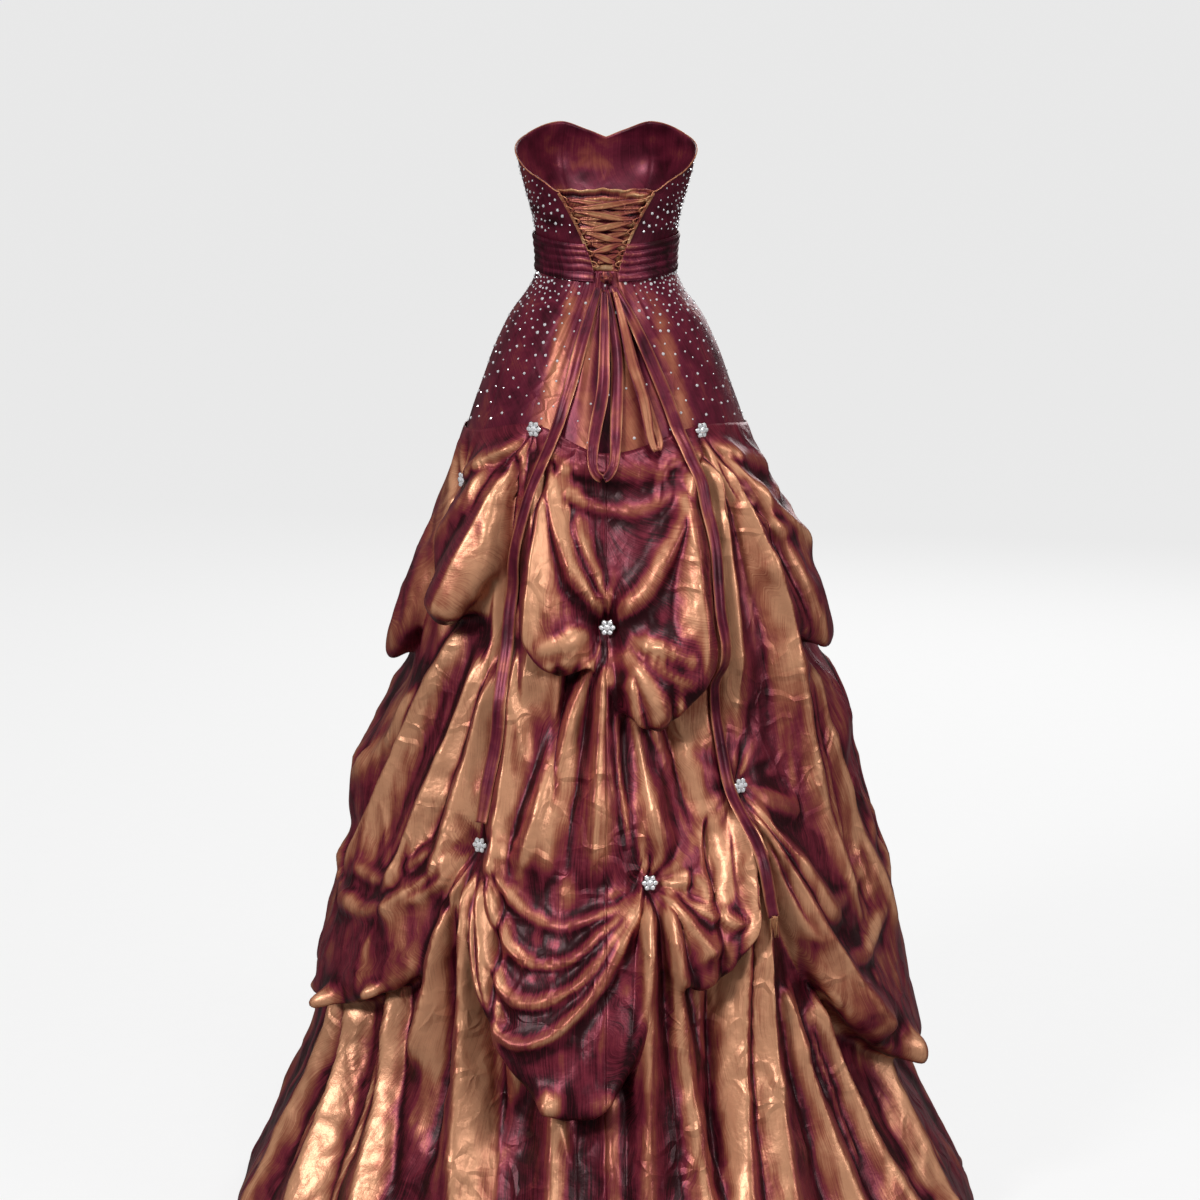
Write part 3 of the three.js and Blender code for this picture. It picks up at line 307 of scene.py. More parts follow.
def unit(vectors: np.ndarray) -> np.ndarray:
    """Vectors brought to length one."""
    return vectors / np.maximum(np.linalg.norm(vectors, axis=-1, keepdims=True), 1e-9)


def grid_normals(grid: np.ndarray) -> np.ndarray:
    """Outward unit normals of a grid whose columns run in rising turn and whose rows run down."""
    return unit(np.cross(np.gradient(grid, axis=0), np.gradient(grid, axis=1)))


def blur(values: np.ndarray, reach: int, axis: int) -> np.ndarray:
    """Values averaged over their neighbours along one axis, twice.

    Args:
        values: the array.
        reach: how many neighbours count on each side.
        axis: the axis.

    Returns:
        The averaged array.
    """
    for _ in range(2):
        pad = [(reach, reach) if k == axis else (0, 0) for k in range(values.ndim)]
        total = np.cumsum(np.pad(values, pad, mode="edge"), axis=axis)
        total = np.insert(total, 0, 0, axis=axis)
        size = 2 * reach + 1
        low = np.take(total, range(0, values.shape[axis]), axis=axis)
        high = np.take(total, range(size, values.shape[axis] + size), axis=axis)
        values = (high - low) / size
    return values


class Noise:
    """Smooth seeded noise in space, from -1 to 1."""

    ENTRIES = 4096  # a power of two
    PRIMES = np.array([73856093, 19349663, 83492791])  # spread a cell's three numbers over the table

    def __init__(self, seed: int) -> None:
        """Draws the noise's table."""
        self.table = np.random.default_rng(seed).random(self.ENTRIES) * 2 - 1

    def at(self, points: np.ndarray, *cell: float) -> np.ndarray:
        """The noise at points, for cells of the given size in mm along X, Y and Z.

        Args:
            points: an array of points, mm.
            cell: the three sizes, mm.

        Returns:
            One value for each point.
        """
        p = points / np.array(cell)
        base = np.floor(p).astype(np.int64)
        part = p - base
        part = smooth(part)
        total = 0.0
        for corner in range(8):
            step = np.array([corner & 1, corner >> 1 & 1, corner >> 2 & 1])
            key = (base + step) * self.PRIMES
            share = np.prod(np.where(step == 1, part, 1 - part), axis=-1)
            total = total + share * self.table[np.bitwise_xor.reduce(key, axis=-1) & (self.ENTRIES - 1)]
        return total


def hex_colour(code: str) -> tuple[float, float, float, float]:
    """A linear colour from an sRGB hex value such as "C99A68".

    Args:
        code: six hex digits.

    Returns:
        Red, green, blue and alpha.
    """
    parts = [int(code[i : i + 2], 16) / 255 for i in (0, 2, 4)]
    linear = [c / 12.92 if c <= 0.04045 else ((c + 0.055) / 1.055) ** 2.4 for c in parts]
    return (*linear, 1.0)


def add_node(tree: NodeTree, kind: str, inputs: dict | None = None, **settings: object) -> Node:
    """Adds a node with its settings, values and links.

    Args:
        tree: the node tree.
        kind: Blender's name of the node.
        inputs: for each input's name or number, a value or the socket that feeds it.
        settings: the node's own properties.

    Returns:
        The node.
    """
    made = tree.nodes.new(kind)
    for name, value in settings.items():
        setattr(made, name, value)
    for key, value in (inputs or {}).items():
        if isinstance(value, NodeSocket):
            tree.links.new(value, made.inputs[key])
        else:
            made.inputs[key].default_value = value
    return made


def add_noise(tree: NodeTree, at: NodeSocket, scale: float, detail: float, **more: float) -> NodeSocket:
    """The value of a new noise, with scale cells to the metre."""
    inputs = {"Vector": at, "Scale": scale, "Detail": detail, **more}
    return add_node(tree, "ShaderNodeTexNoise", inputs).outputs["Fac"]


def add_math(tree: NodeTree, operation: str, *values: object) -> NodeSocket:
    """The result of a new sum of values or sockets."""
    return add_node(tree, "ShaderNodeMath", dict(enumerate(values)), operation=operation).outputs[0]


def add_range(tree: NodeTree, value: NodeSocket, *ends: float) -> NodeSocket:
    """A value brought from the range of the first two ends to that of the last two."""
    return add_node(tree, "ShaderNodeMapRange", dict(enumerate((value, *ends)))).outputs[0]


def add_mix(tree: NodeTree, share: object, first: object, second: object) -> NodeSocket:
    """The colour a share of the way from the first to the second."""
    inputs = {"Factor": share, 6: first, 7: second}
    return add_node(tree, "ShaderNodeMix", inputs, data_type="RGBA").outputs[2]


def add_surface(tree: NodeTree, inputs: dict) -> None:
    """Ends a material's tree with its Principled shader."""
    shader = add_node(tree, "ShaderNodeBsdfPrincipled", inputs)
    add_node(tree, "ShaderNodeOutputMaterial", {"Surface": shader.outputs[0]})


def new_material(name: str) -> tuple[Material, NodeTree]:
    """An empty node material.

    Args:
        name: the material's name.

    Returns:
        The material and its node tree.
    """
    material = bpy.data.materials.new(name)
    material.use_nodes = True
    material.node_tree.nodes.clear()
    return material, material.node_tree


@dataclass(frozen=True)
class ShotTaffeta:
    """Shot silk taffeta: burgundy warp under a gold weft, calendered smooth, crisp and easily creased.

    Each piece keeps its share of gold yarn in its attribute "gold", on some pieces with light and shade
    painted in by the way a fold faces, so the cloth runs from painted crevice shade through plum and bronze
    to gold and a painted pale highlight. The gloss is broad, with short bright crests.
    """

    name: str
    # the ramp's darkest stop: painted shade for the crevices
    painted_crevice_shade: str = "2E0810"
    deep: str = "5A1526"
    body: str = "822A3B"
    bronze: str = "90453D"
    gold: str = "AE674E"
    # the ramp's palest stop: a painted highlight
    pale: str = "E0A27C"
    shift: float = 0.0
    metal: float = 0.3
    grain: float = 0.7
    crease_mm: float = 46.0
    crease_depth: float = 1.7
    roughness: tuple[float, float] = (0.39, 0.35)

    def build(self) -> Material:
        """Builds the material.

        Returns:
            The material.
        """
        material, tree = new_material(self.name)
        share = add_node(tree, "ShaderNodeAttribute", attribute_name="gold").outputs["Fac"]
        uv = add_node(tree, "ShaderNodeUVMap", uv_map="cloth").outputs["UV"]
        spot = add_node(tree, "ShaderNodeTexCoord").outputs["Object"]
        # slubs of the weft, 2 mm apart and 80 mm long, drawn coarse enough to show
        weft = add_node(tree, "ShaderNodeMapping", {"Vector": uv, "Scale": (460.0, 13.0, 1.0)}).outputs[0]
        slub = add_noise(tree, weft, 1.0, 3.0, Roughness=0.6)
        # soft patches where the two yarns part, about 35 mm across
        patch = add_noise(tree, spot, 28.0, 5.0, Roughness=0.62, Distortion=0.6)
        wander = add_math(tree, "MULTIPLY_ADD", slub, self.grain, share)
        drift = add_math(tree, "MULTIPLY_ADD", patch, 0.6, wander)
        level = add_math(tree, "SUBTRACT", drift, 0.5 * self.grain + 0.3 - self.shift)
        ramp = add_node(tree, "ShaderNodeValToRGB", {"Fac": level})
        # the darkest stop is painted crevice shade and the palest a painted highlight
        stops = (
            (0.0, self.painted_crevice_shade), (0.12, self.deep), (0.3, self.body),
            (0.46, self.bronze), (0.64, self.gold), (1.0, self.pale),
        )
        while len(ramp.color_ramp.elements) < len(stops):
            ramp.color_ramp.elements.new(0.5)
        for element, (at, code) in zip(ramp.color_ramp.elements, stops):
            element.position, element.color = at, hex_colour(code)
        # crisp crease lines, the edges of facets about crease_mm across, bent a little
        bend = add_node(tree, "ShaderNodeTexNoise", {"Vector": spot, "Scale": 14.0, "Detail": 2.0})
        bent = add_mix(tree, 0.06, spot, bend.outputs["Color"])
        facets = add_node(
            tree, "ShaderNodeTexVoronoi",
            {"Vector": bent, "Scale": 1000.0 / self.crease_mm, "Randomness": 1.0}, feature="DISTANCE_TO_EDGE",
        )
        ridge = add_range(tree, facets.outputs["Distance"], 0.0, 0.16, 1.0, 0.0)
        worn = add_range(tree, add_noise(tree, spot, 9.0, 2.0), 0.45, 0.62, 0.0, 1.0)
        rumple = add_noise(tree, spot, 60.0, 4.0, Roughness=0.55)
        relief = add_math(tree, "MULTIPLY_ADD", rumple, 0.7, add_math(tree, "MULTIPLY", ridge, worn))
        lines = add_node(
            tree, "ShaderNodeBump", {"Strength": 0.9, "Distance": self.crease_depth * MM, "Height": relief}
        )
        weave = add_node(
            tree, "ShaderNodeBump",
            {"Strength": 0.35, "Distance": 0.12 * MM, "Height": slub, "Normal": lines.outputs[0]},
        )
        gloss = add_range(tree, level, 0.2, 0.8, *self.roughness)
        add_surface(
            tree,
            {"Base Color": ramp.outputs[0], "Roughness": gloss, "Normal": weave.outputs[0],
             "Metallic": self.metal, "Specular IOR Level": 0.3, "IOR": 1.5, "Sheen Weight": 0.02,
             "Sheen Roughness": 0.4, "Sheen Tint": hex_colour("E8B98A")},
        )
        return material


@dataclass(frozen=True)
class CutStone:
    """Foiled glass rhinestone, facet-cut and polished: white fire with grey facets, and a faint painted white
    glow for sparkle.
    """

    name: str
    colour: str = "EEF0F4"
    roughness: float = 0.08

    def build(self) -> Material:
        """Builds the material.

        Returns:
            The material.
        """
        material, tree = new_material(self.name)
        spot = add_node(tree, "ShaderNodeTexCoord").outputs["Object"]
        # each stone's foil has its own shade, changing over about 3 mm
        foil = add_node(tree, "ShaderNodeTexVoronoi", {"Vector": spot, "Scale": 330.0})
        shade = add_range(tree, foil.outputs["Color"], 0.0, 1.0, 0.72, 1.0)
        # painted sparkle: a faint white emission
        add_surface(
            tree,
            {"Base Color": add_mix(tree, shade, hex_colour("A9A2A6"), hex_colour(self.colour)),
             "Metallic": 0.35, "Roughness": self.roughness, "IOR": 1.54, "Coat Weight": 0.8,
             "Coat Roughness": 0.03, "Emission Color": hex_colour("FFFFFF"), "Emission Strength": 0.12},
        )
        return material


@dataclass(frozen=True)
class SilverSetting:
    """Rhodium-plated cast brass of a brooch's setting: bright and slightly rubbed."""

    name: str

    def build(self) -> Material:
        """Builds the material.

        Returns:
            The material.
        """
        material, tree = new_material(self.name)
        spot = add_node(tree, "ShaderNodeTexCoord").outputs["Object"]
        # rubbed spots about 2 mm across
        gloss = add_range(tree, add_noise(tree, spot, 500.0, 3.0), 0.3, 0.7, 0.16, 0.34)
        add_surface(tree, {"Base Color": hex_colour("C9C7C4"), "Metallic": 1.0, "Roughness": gloss})
        return material


class Finish(Enum):
    """The finishes of the gown."""

    SKIRT = ShotTaffeta("burgundy_gold_shot_taffeta")
    BEADED = ShotTaffeta(
        "fitted_burgundy_taffeta", deep="4A1022", body="702036", grain=0.3, crease_mm=30, crease_depth=0.4
    )
    BAND = ShotTaffeta(
        "ruched_plum_taffeta", deep="4A1024", body="6E1F36", bronze="8A3C42", gold="AC6E54", shift=-0.06,
        crease_mm=22, crease_depth=0.3,
    )
    GOLD = ShotTaffeta(
        "gold_weft_side_taffeta", deep="5A2029", body="87393A", bronze="A65E48", gold="C08A62", pale="DFB890",
        crease_mm=14, crease_depth=0.3,
    )
    STONE = CutStone("foiled_glass_rhinestone")
    SILVER = SilverSetting("rhodium_plated_setting")

    @property
    def material(self) -> Material:
        """The finish's material, built once."""
        return bpy.data.materials.get(self.value.name) or self.value.build()


def put(name: str, data: ID) -> Object:
    """A new object in the scene.

    Args:
        name: its name.
        data: its mesh, light or camera.

    Returns:
        The object.
    """
    made = bpy.data.objects.new(name, data)
    bpy.context.scene.collection.objects.link(made)
    return made


def add_object(name: str, points: np.ndarray, faces: list, finish: Finish, flat: bool = False) -> Object:
    """A mesh object at the origin from points in mm.

    Args:
        name: the piece's name.
        points: an array of points, mm.
        faces: lists of point numbers.
        finish: its finish.
        flat: whether its faces keep their facets.

    Returns:
        The object.
    """
    mesh = bpy.data.meshes.new(name)
    mesh.from_pydata((np.asarray(points) * MM).tolist(), [], faces)
    mesh.polygons.foreach_set("use_smooth", [not flat] * len(mesh.polygons))
    mesh.materials.append(finish.material)
    return put(name, mesh)


def add_cloth_data(mesh: Mesh, gold: np.ndarray, uv: np.ndarray) -> None:
    """Gives a mesh its attribute "gold" and its UV map in metres.

    Args:
        mesh: the mesh.
        gold: one value for each point.
        uv: one pair for each point, mm.
    """
    layer = mesh.attributes.new("gold", "FLOAT", "POINT")
    layer.data.foreach_set("value", np.asarray(gold, np.float32).ravel())
    corners = np.empty(len(mesh.loops), np.int32)
    mesh.loops.foreach_get("vertex_index", corners)
    cloth = mesh.uv_layers.new(name="cloth")
    cloth.data.foreach_set("uv", (uv[corners] * MM).astype(np.float32).ravel())


def add_shell(node: str, grid: np.ndarray, thick: float, gold: np.ndarray, finish: Finish) -> Object:
    """A thin closed shell of cloth on a grid of outer points, which takes a CAD node's place.

    Args:
        node: the node's name.
        grid: columns in rising turn, rows downwards, mm.
        thick: the cloth's thickness, mm.
        gold: how far the gold yarn shows at each point of the grid, with any painted light and shade, held
            between 0 and 1.
        finish: its finish.

    Returns:
        The object.
    """
    columns, rows = grid.shape[:2]
    inner = grid - thick * grid_normals(grid)
    points = np.concatenate([grid.reshape(-1, 3), inner.reshape(-1, 3)])
    number = np.arange(columns * rows).reshape(columns, rows)
    under = number + columns * rows
    a, b, c, d = number[:-1, :-1], number[1:, :-1], number[1:, 1:], number[:-1, 1:]
    e, f, g, h = under[:-1, :-1], under[1:, :-1], under[1:, 1:], under[:-1, 1:]
    parts = [
        np.stack([a, b, c, d], -1).reshape(-1, 4),
        np.stack([e, h, g, f], -1).reshape(-1, 4),
        np.stack([number[0, :-1], number[0, 1:], under[0, 1:], under[0, :-1]], -1),
        np.stack([number[-1, :-1], under[-1, :-1], under[-1, 1:], number[-1, 1:]], -1),
        np.stack([number[:-1, 0], under[:-1, 0], under[1:, 0], number[1:, 0]], -1),
        np.stack([number[:-1, -1], number[1:, -1], under[1:, -1], under[:-1, -1]], -1),
    ]
    made = add_object(f"{node}_cloth", points, np.concatenate(parts).tolist(), finish)
    along = np.cumsum(np.linalg.norm(np.diff(grid, axis=1, prepend=grid[:, :1]), axis=-1), axis=1)
    across = np.cumsum(np.linalg.norm(np.diff(grid, axis=0, prepend=grid[:1]), axis=-1), axis=0)
    uv = np.stack([across, along], -1).reshape(-1, 2)
    add_cloth_data(made.data, np.tile(np.clip(gold, 0, 1).ravel(), 2), np.tile(uv, (2, 1)))
    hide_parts(node)
    return made


def spline(points: np.ndarray, step: float) -> np.ndarray:
    """A smooth line through some points or rows of values, with points about step mm apart.

    Args:
        points: rows that start with x, y and z, mm.
        step: the spacing, mm.

    Returns:
        The finer rows.
    """
    points = np.asarray(points, float)
    runs = np.linalg.norm(np.diff(points[:, :3], axis=0), axis=-1)
    at = np.concatenate([[0], np.cumsum(runs)])
    fine = np.linspace(0, at[-1], max(int(at[-1] / step), 8) + 1)
    return np.stack([look(at, points[:, k], fine) for k in range(points.shape[1])], -1)


def circle(count: int) -> np.ndarray:
    """Angles of a number of points round a circle, radians."""
    return np.linspace(0, 2 * np.pi, count + 1)[:-1]


def outwards(path: np.ndarray) -> np.ndarray:
    """Unit vectors away from the gown's axis at points."""
    return unit(path * [1, 1, 0])


def sideways(path: np.ndarray) -> np.ndarray:
    """Unit vectors across a line, flat on the gown."""
    return np.cross(unit(np.gradient(path, axis=0)), outwards(path))


def sweep(
    path: np.ndarray, across: np.ndarray, section: np.ndarray, widths: np.ndarray
) -> tuple[np.ndarray, list]:
    """A closed band swept along a line.

    Args:
        path: the line's points, mm.
        across: the direction of the band's width at each point.
        section: the closed outline as rows of (share of the width, mm of height).
        widths: the band's width at each point, mm.

    Returns:
        The points and the faces.
    """
    along = unit(np.gradient(path, axis=0))
    across = unit(across - along * np.sum(across * along, -1, keepdims=True))
    out = np.cross(across, along)
    ring = path[:, None] + across[:, None] * (section[:, 0] * widths[:, None])[..., None]
    ring = ring + out[:, None] * section[None, :, 1, None]
    count, sides = len(path), len(section)
    number = np.arange(count * sides).reshape(count, sides)
    after = np.roll(number, -1, axis=1)
    faces = np.stack([number[:-1], number[1:], after[1:], after[:-1]], -1).reshape(-1, 4).tolist()
    faces += [number[0].tolist(), number[-1][::-1].tolist()]
    return ring.reshape(-1, 3), faces


def round_section(sides: int, wide: float) -> np.ndarray:
    """The outline of a round cord for sweep, as rows of (share of the width, mm of height)."""
    return np.stack([0.5 * np.cos(circle(sides)), 0.5 * wide * np.sin(circle(sides))], -1)


def outward(points: np.ndarray, faces: list) -> list:
    """Faces turned so that a closed mesh's volume is positive.

    Args:
        points: the mesh's points.
        faces: its faces.

    Returns:
        The faces, turned over where they need it.
    """
    volume = 0.0
    for face in faces:
        a = points[face[0]]
        for p, q in zip(face[1:-1], face[2:]):
            volume += float(np.dot(a, np.cross(points[p], points[q])))
    return faces if volume > 0 else [face[::-1] for face in faces]


def join(parts: Iterable[tuple[np.ndarray, list]]) -> tuple[np.ndarray, list]:
    """Several closed meshes as one, with the faces of each turned outwards.

    Args:
        parts: the points and faces of each mesh.

    Returns:
        The points and faces of the whole.
    """
    points, faces, base = [], [], 0
    for some, these in parts:
        points.append(some)
        faces += [[base + i for i in face] for face in outward(some, these)]
        base += len(some)
    return np.concatenate(points), faces


@dataclass(frozen=True)
class GoldAndPaintedLightRule:
    """How strongly each cause brings out the skirt's gold yarn or paints light and shade on it."""

    base: float = 0.215
    least: float = 0.19
    aside: float = 1.25  # painted light on a fold's flank that faces one way round the skirt
    out: float = 0.5  # painted light on cloth that faces straight out
    # painted light on cloth that faces up
    up: float = 0.2
    crest: float = 0.015  # painted light, for each mm that a fold stands over what is round it
    line: float = 0.3  # painted highlight, for each mm of a sharp ridge
    # painted shade in the crevices between folds
    painted_crevice_shade: float = 0.16
    left: float = 0.09  # painted light on the wearer's left side, where the key lamp stands
    patch: float = 0.36
    streak: float = 0.2


@dataclass
class DrapedSkirt:
    """The skirt: four gores of taffeta picked up into swags and pinned with brooches."""

    gores: tuple = (
        ("skirt_back_left", 0.0, 90.0, 182),
        ("skirt_back_right", -90.0, 0.0, 182),
        ("skirt_front_left", 90.0, 180.0, 112),
        ("skirt_front_right", 180.0, 270.0, 112),
    )
    cloth: float = 1.0
    seam: float = 0.1
    margin: int = 8  # columns worked out past each end of a gore, so that gores meet without a step
    rows: tuple = (54, 12, 24, 8, 54, 12, 74)  # down each of three swags and in its tuck, then to the hem
    spread: float = 1.75  # how far a fold's foot reaches, as a share of its width
    narrowest: float = 12.0
    skew: float = 0.26  # how far a fold leans over to one side
    dents: float = 3.4
    ripples: float = 1.4
    buckles: float = 4.5
    ray_high: float = 3.4  # the small pleats that run out from a pick-up
    ray_start: float = 24.0
    ray_reach: float = 46.0
    gold: GoldAndPaintedLightRule = GoldAndPaintedLightRule()
    folds: list = field(default_factory=list)
    grooves: tuple = (
        Fold(-37, -236, -36, -640, 9, 15, -24, 0, 0.25),
        Fold(34, -236, 35, -560, 8, 13, -22, 0, 0.3),
        Fold(-16, -520, -22, -730, 9, 18, -18, 0, 0.3),
        Fold(13, -480, 13, -700, 8, 12, -12, 0, 0.3),
        Fold(-27, -690, -21, -1200, 8, 18, -16, 0, 0.2),
        Fold(36, -770, 33, -1180, 8, 16, -16, 0, 0.2),
        Fold(24, -780, 22, -1100, 7, 12, -12, 0, 0.3),
        Fold(-55, -300, -70, -560, 8, 14, -12, 0, 0.3),
    )
    drapes: tuple = (
        Fold(32, -740, -10, -775, 12, 12, 26, -205, 0.06),
        Fold(31, -745, -9, -780, 11, 11, 24, -150, 0.06),
        Fold(30, -750, -8, -785, 10, 10, 20, -95, 0.06),
        Fold(29, -752, -8, -786, 9, 9, 15, -48, 0.06),
        Fold(32, -215, -42, -220, 9, 9, 15, -46, 0.06),
        Fold(32, -218, -42, -224, 8, 8, 13, -88, 0.06),
        Fold(-37, -668, -98, -770, 9, 16, 17, -190, 0.1),
        Fold(-38, -668, -92, -740, 8, 14, 14, -130, 0.1),
        Fold(33, -738, 92, -800, 9, 15, 15, 78, 0.1),
        Fold(33, -738, 84, -780, 8, 13, 13, 42, 0.1),
        Fold(-43, -222, -92, -330, 9, 14, 14, -74, 0.1),
        Fold(-43, -224, -84, -300, 8, 12, 12, -40, 0.1),
        Fold(33, -216, 70, -295, 8, 12, 13, 66, 0.1),
        Fold(1, -458, 30, -420, 8, 12, 15, 60, 0.15),
        Fold(-2, -458, -38, -420, 8, 12, 15, -84, 0.15),
        Fold(-3, -458, -34, -440, 7, 10, 12, -50, 0.15),
    )  # curved folds that hang between two pick-ups
    back_only: tuple = (Fold(-11, -775, -36, -690, 8, 10, 14, -96, 0.1),)
    surface: dict = field(default_factory=dict)

    def __post_init__(self) -> None:
        """Adds narrow folds beside the main ones, and turns all over for the front."""
        draw = np.random.default_rng(11)
        beside = []
        for row in BACK_FOLDS:
            if row.wide1 <= 30:
                continue
            around = DEGREE * float(plain_radius(row.a0, (row.z0 + row.z1) / 2))
            off = -draw.choice((-1, 1)) * draw.uniform(0.75, 1.1)
            early, late = draw.uniform(0.0, 0.25), draw.uniform(0.7, 1.0)
            beside.append(
                Fold(
                    mix(row.a0, row.a1, early) + off * row.wide0 / around, mix(row.z0, row.z1, early),
                    mix(row.a0, row.a1, late) + off * row.wide1 / around, mix(row.z0, row.z1, late),
                    max(3.5, 0.3 * row.wide0), 0.32 * row.wide1,
                    row.high * draw.uniform(0.22, 0.42), row.bow + draw.uniform(-5, 5), 0.35,
                )
            )
        back = [*BACK_FOLDS, *beside, *self.drapes]
        front = [replace(self.mirrored(row), high=row.high * 0.85) for row in back]
        self.folds = [*back, *self.back_only, *front]
        self.grooves += tuple(self.mirrored(row) for row in self.grooves)

    @staticmethod
    def mirrored(row: Fold) -> Fold:
        """A fold of the back turned over to the front."""
        return replace(row, a0=180 - row.a0, a1=180 - row.a1, bow=-row.bow)

    def fold_height(self, fold: Fold, turn: np.ndarray, z: np.ndarray) -> np.ndarray:
        """The height of one fold at turns and heights on the skirt, mm.

        Args:
            fold: the fold.
            turn: turns, degrees.
            z: heights, mm.

        Returns:
            The height at each point, mm.
        """
        around = DEGREE * float(plain_radius(fold.a0, (fold.z0 + fold.z1) / 2))
        across, down = wrap(turn - fold.a0) * around, z - fold.z0
        run_x, run_z = (fold.a1 - fold.a0) * around, fold.z1 - fold.z0
        long = math.hypot(run_x, run_z)
        t = (across * run_x + down * run_z) / long**2
        aside = (across * run_z - down * run_x) / long - fold.bow * 4 * t * (1 - t)
        lean = np.hypot(1, fold.bow * 4 * (1 - 2 * np.clip(t, 0, 1)) / long)
        half = np.maximum(self.spread * mix(fold.wide0, fold.wide1, np.clip(t, 0, 1)), self.narrowest) * lean
        ends = smooth(t * long / 34)
        if fold.fade > 0:
            ends = ends * (1 - smooth((t - 1 + fold.fade) / fold.fade)) * (t <= 1)
        share = np.clip(aside / half, -1, 1)
        share = share + (self.skew if fold.a1 >= fold.a0 else -self.skew) * (1 - share**2)
        crest = 0.25 * np.cos(np.pi / 2 * share) ** 2 + 0.75 * (1 - np.abs(share)) ** 1.6
        return fold.high * ends * crest * (t >= 0)

    def folds_at(self, turns: np.ndarray, z: np.ndarray) -> np.ndarray:
        """How far the folds, grooves and pick-ups move the skirt outwards.

        Args:
            turns: one turn for each column.
            z: the heights, a column of them for each turn.

        Returns:
            The distance outwards at each point, mm.
        """
        raised, sunk = np.zeros_like(z), np.zeros_like(z)
        for fold in [*self.folds, *self.grooves]:
            reach = (self.spread * max(fold.wide0, fold.wide1) + 1.6 * abs(fold.bow)) / 2.6 + 2
            low, high = sorted((fold.a0, fold.a1))
            middle, span = (low + high) / 2, (high - low) / 2 + reach
            near = np.abs(wrap(turns - middle)) < span
            if not near.any():
                continue
            height = self.fold_height(fold, turns[near][:, None], z[near])
            if fold.high > 0:
                raised[near] = np.maximum(raised[near], height)
            else:
                sunk[near] = np.minimum(sunk[near], height)
        total = raised + sunk
        for pin in PINS:
            across = wrap(turns - pin.turn)[:, None] * DEGREE * float(plain_radius(pin.turn, pin.z))
            down = z - pin.z
            far = np.hypot(across, down)
            total -= pin.dimple * np.exp(-((far / self.ray_start) ** 2))
            angle = np.arctan2(across, down)
            rays = np.cos(13 * angle + 2.1 * np.cos(2 * angle + pin.turn)) + 0.6 * np.cos(7 * angle + pin.z)
            fade = smooth(far / self.ray_start) * np.exp(-((far / self.ray_reach) ** 1.5))
            total += self.ray_high * rays * fade
        return total

    @staticmethod
    def swag_at(swags: tuple, turns: np.ndarray) -> dict:
        """The swag of a row that covers each turn, as arrays of its bottom, belly, tuck and turned share.

        Args:
            swags: the swags of one row.
            turns: one turn for each column.

        Returns:
            The arrays by their names.
        """
        found = {key: np.zeros_like(turns) for key in ("bottom", "belly", "tuck", "turned", "on")}
        for row in swags:
            here = (turns >= row.start_turn) & (turns <= row.end_turn) & (found["on"] == 0)
            s = (turns[here] - row.start_turn) / (row.end_turn - row.start_turn)
            leaning = s**row.lean
            arch = np.clip(4 * leaning * (1 - leaning), 0, 1)
            found["bottom"][here] = mix(row.z0, row.z1, s) - row.drop * arch**row.square
            found["belly"][here] = row.belly * arch
            found["tuck"][here] = row.tuck
            found["turned"][here] = smooth(s / row.start) * smooth((1 - s) / row.end)
            found["on"][here] = 1
        return {key: blur(values, 3, 0) if key != "on" else values for key, values in found.items()}

    @staticmethod
    def bezier(points: list, cells: int) -> np.ndarray:
        """Points along a cubic curve for every column, without its first point.

        Args:
            points: four control points, each a pair of arrays.
            cells: how many points.

        Returns:
            The points of each column.
        """
        t = np.arange(1, cells + 1)[None, :, None] / cells
        p = [np.stack(point, -1)[:, None] for point in points]
        u = 1 - t
        return u**3 * p[0] + 3 * u * u * t * p[1] + 3 * u * t * t * p[2] + t**3 * p[3]

    def swag_rows(self, top: tuple, swag: dict, cells: tuple, rest: float) -> list:
        """The rows of one swag and its tuck, as [outward, z] pairs for every column.

        Args:
            top: outward and z where the swag starts.
            swag: the arrays of swag_at.
            cells: rows down the swag and rows in its tuck.
            rest: how far out the cloth lies where it doesn't swell.

        Returns:
            Two blocks of rows.
        """
        bottom, belly = swag["bottom"], swag["belly"]
        high = top[1] - bottom
        edge = (rest + 0.8 * belly, bottom)
        drop = self.bezier(
            [
                top,
                (top[0] + 0.12 * (edge[0] - top[0]), top[1] - 0.3 * high),
                (rest + 1.25 * belly, bottom + 0.3 * high),
                edge,
            ],
            cells[0],
        )
        tuck = swag["tuck"] * swag["turned"]
        up = smooth((tuck - 18) / 24)
        stations = np.stack(
            [
                np.stack(edge, -1),
                np.stack([edge[0] - 0.36 * tuck, bottom - mix(8, 4, up)], -1),
                np.stack([edge[0] - 0.56 * tuck, bottom + mix(-16, 8, up)], -1),
                np.stack([edge[0] - tuck, bottom + mix(-24, 6, up)], -1),
            ],
            axis=1,
        )
        at = np.arange(1, cells[1] + 1) * 3 / cells[1]
        under = np.stack(
            [np.stack([look(range(4), column[:, k], at) for k in range(2)], -1) for column in stations]
        )
        return [drop, under]

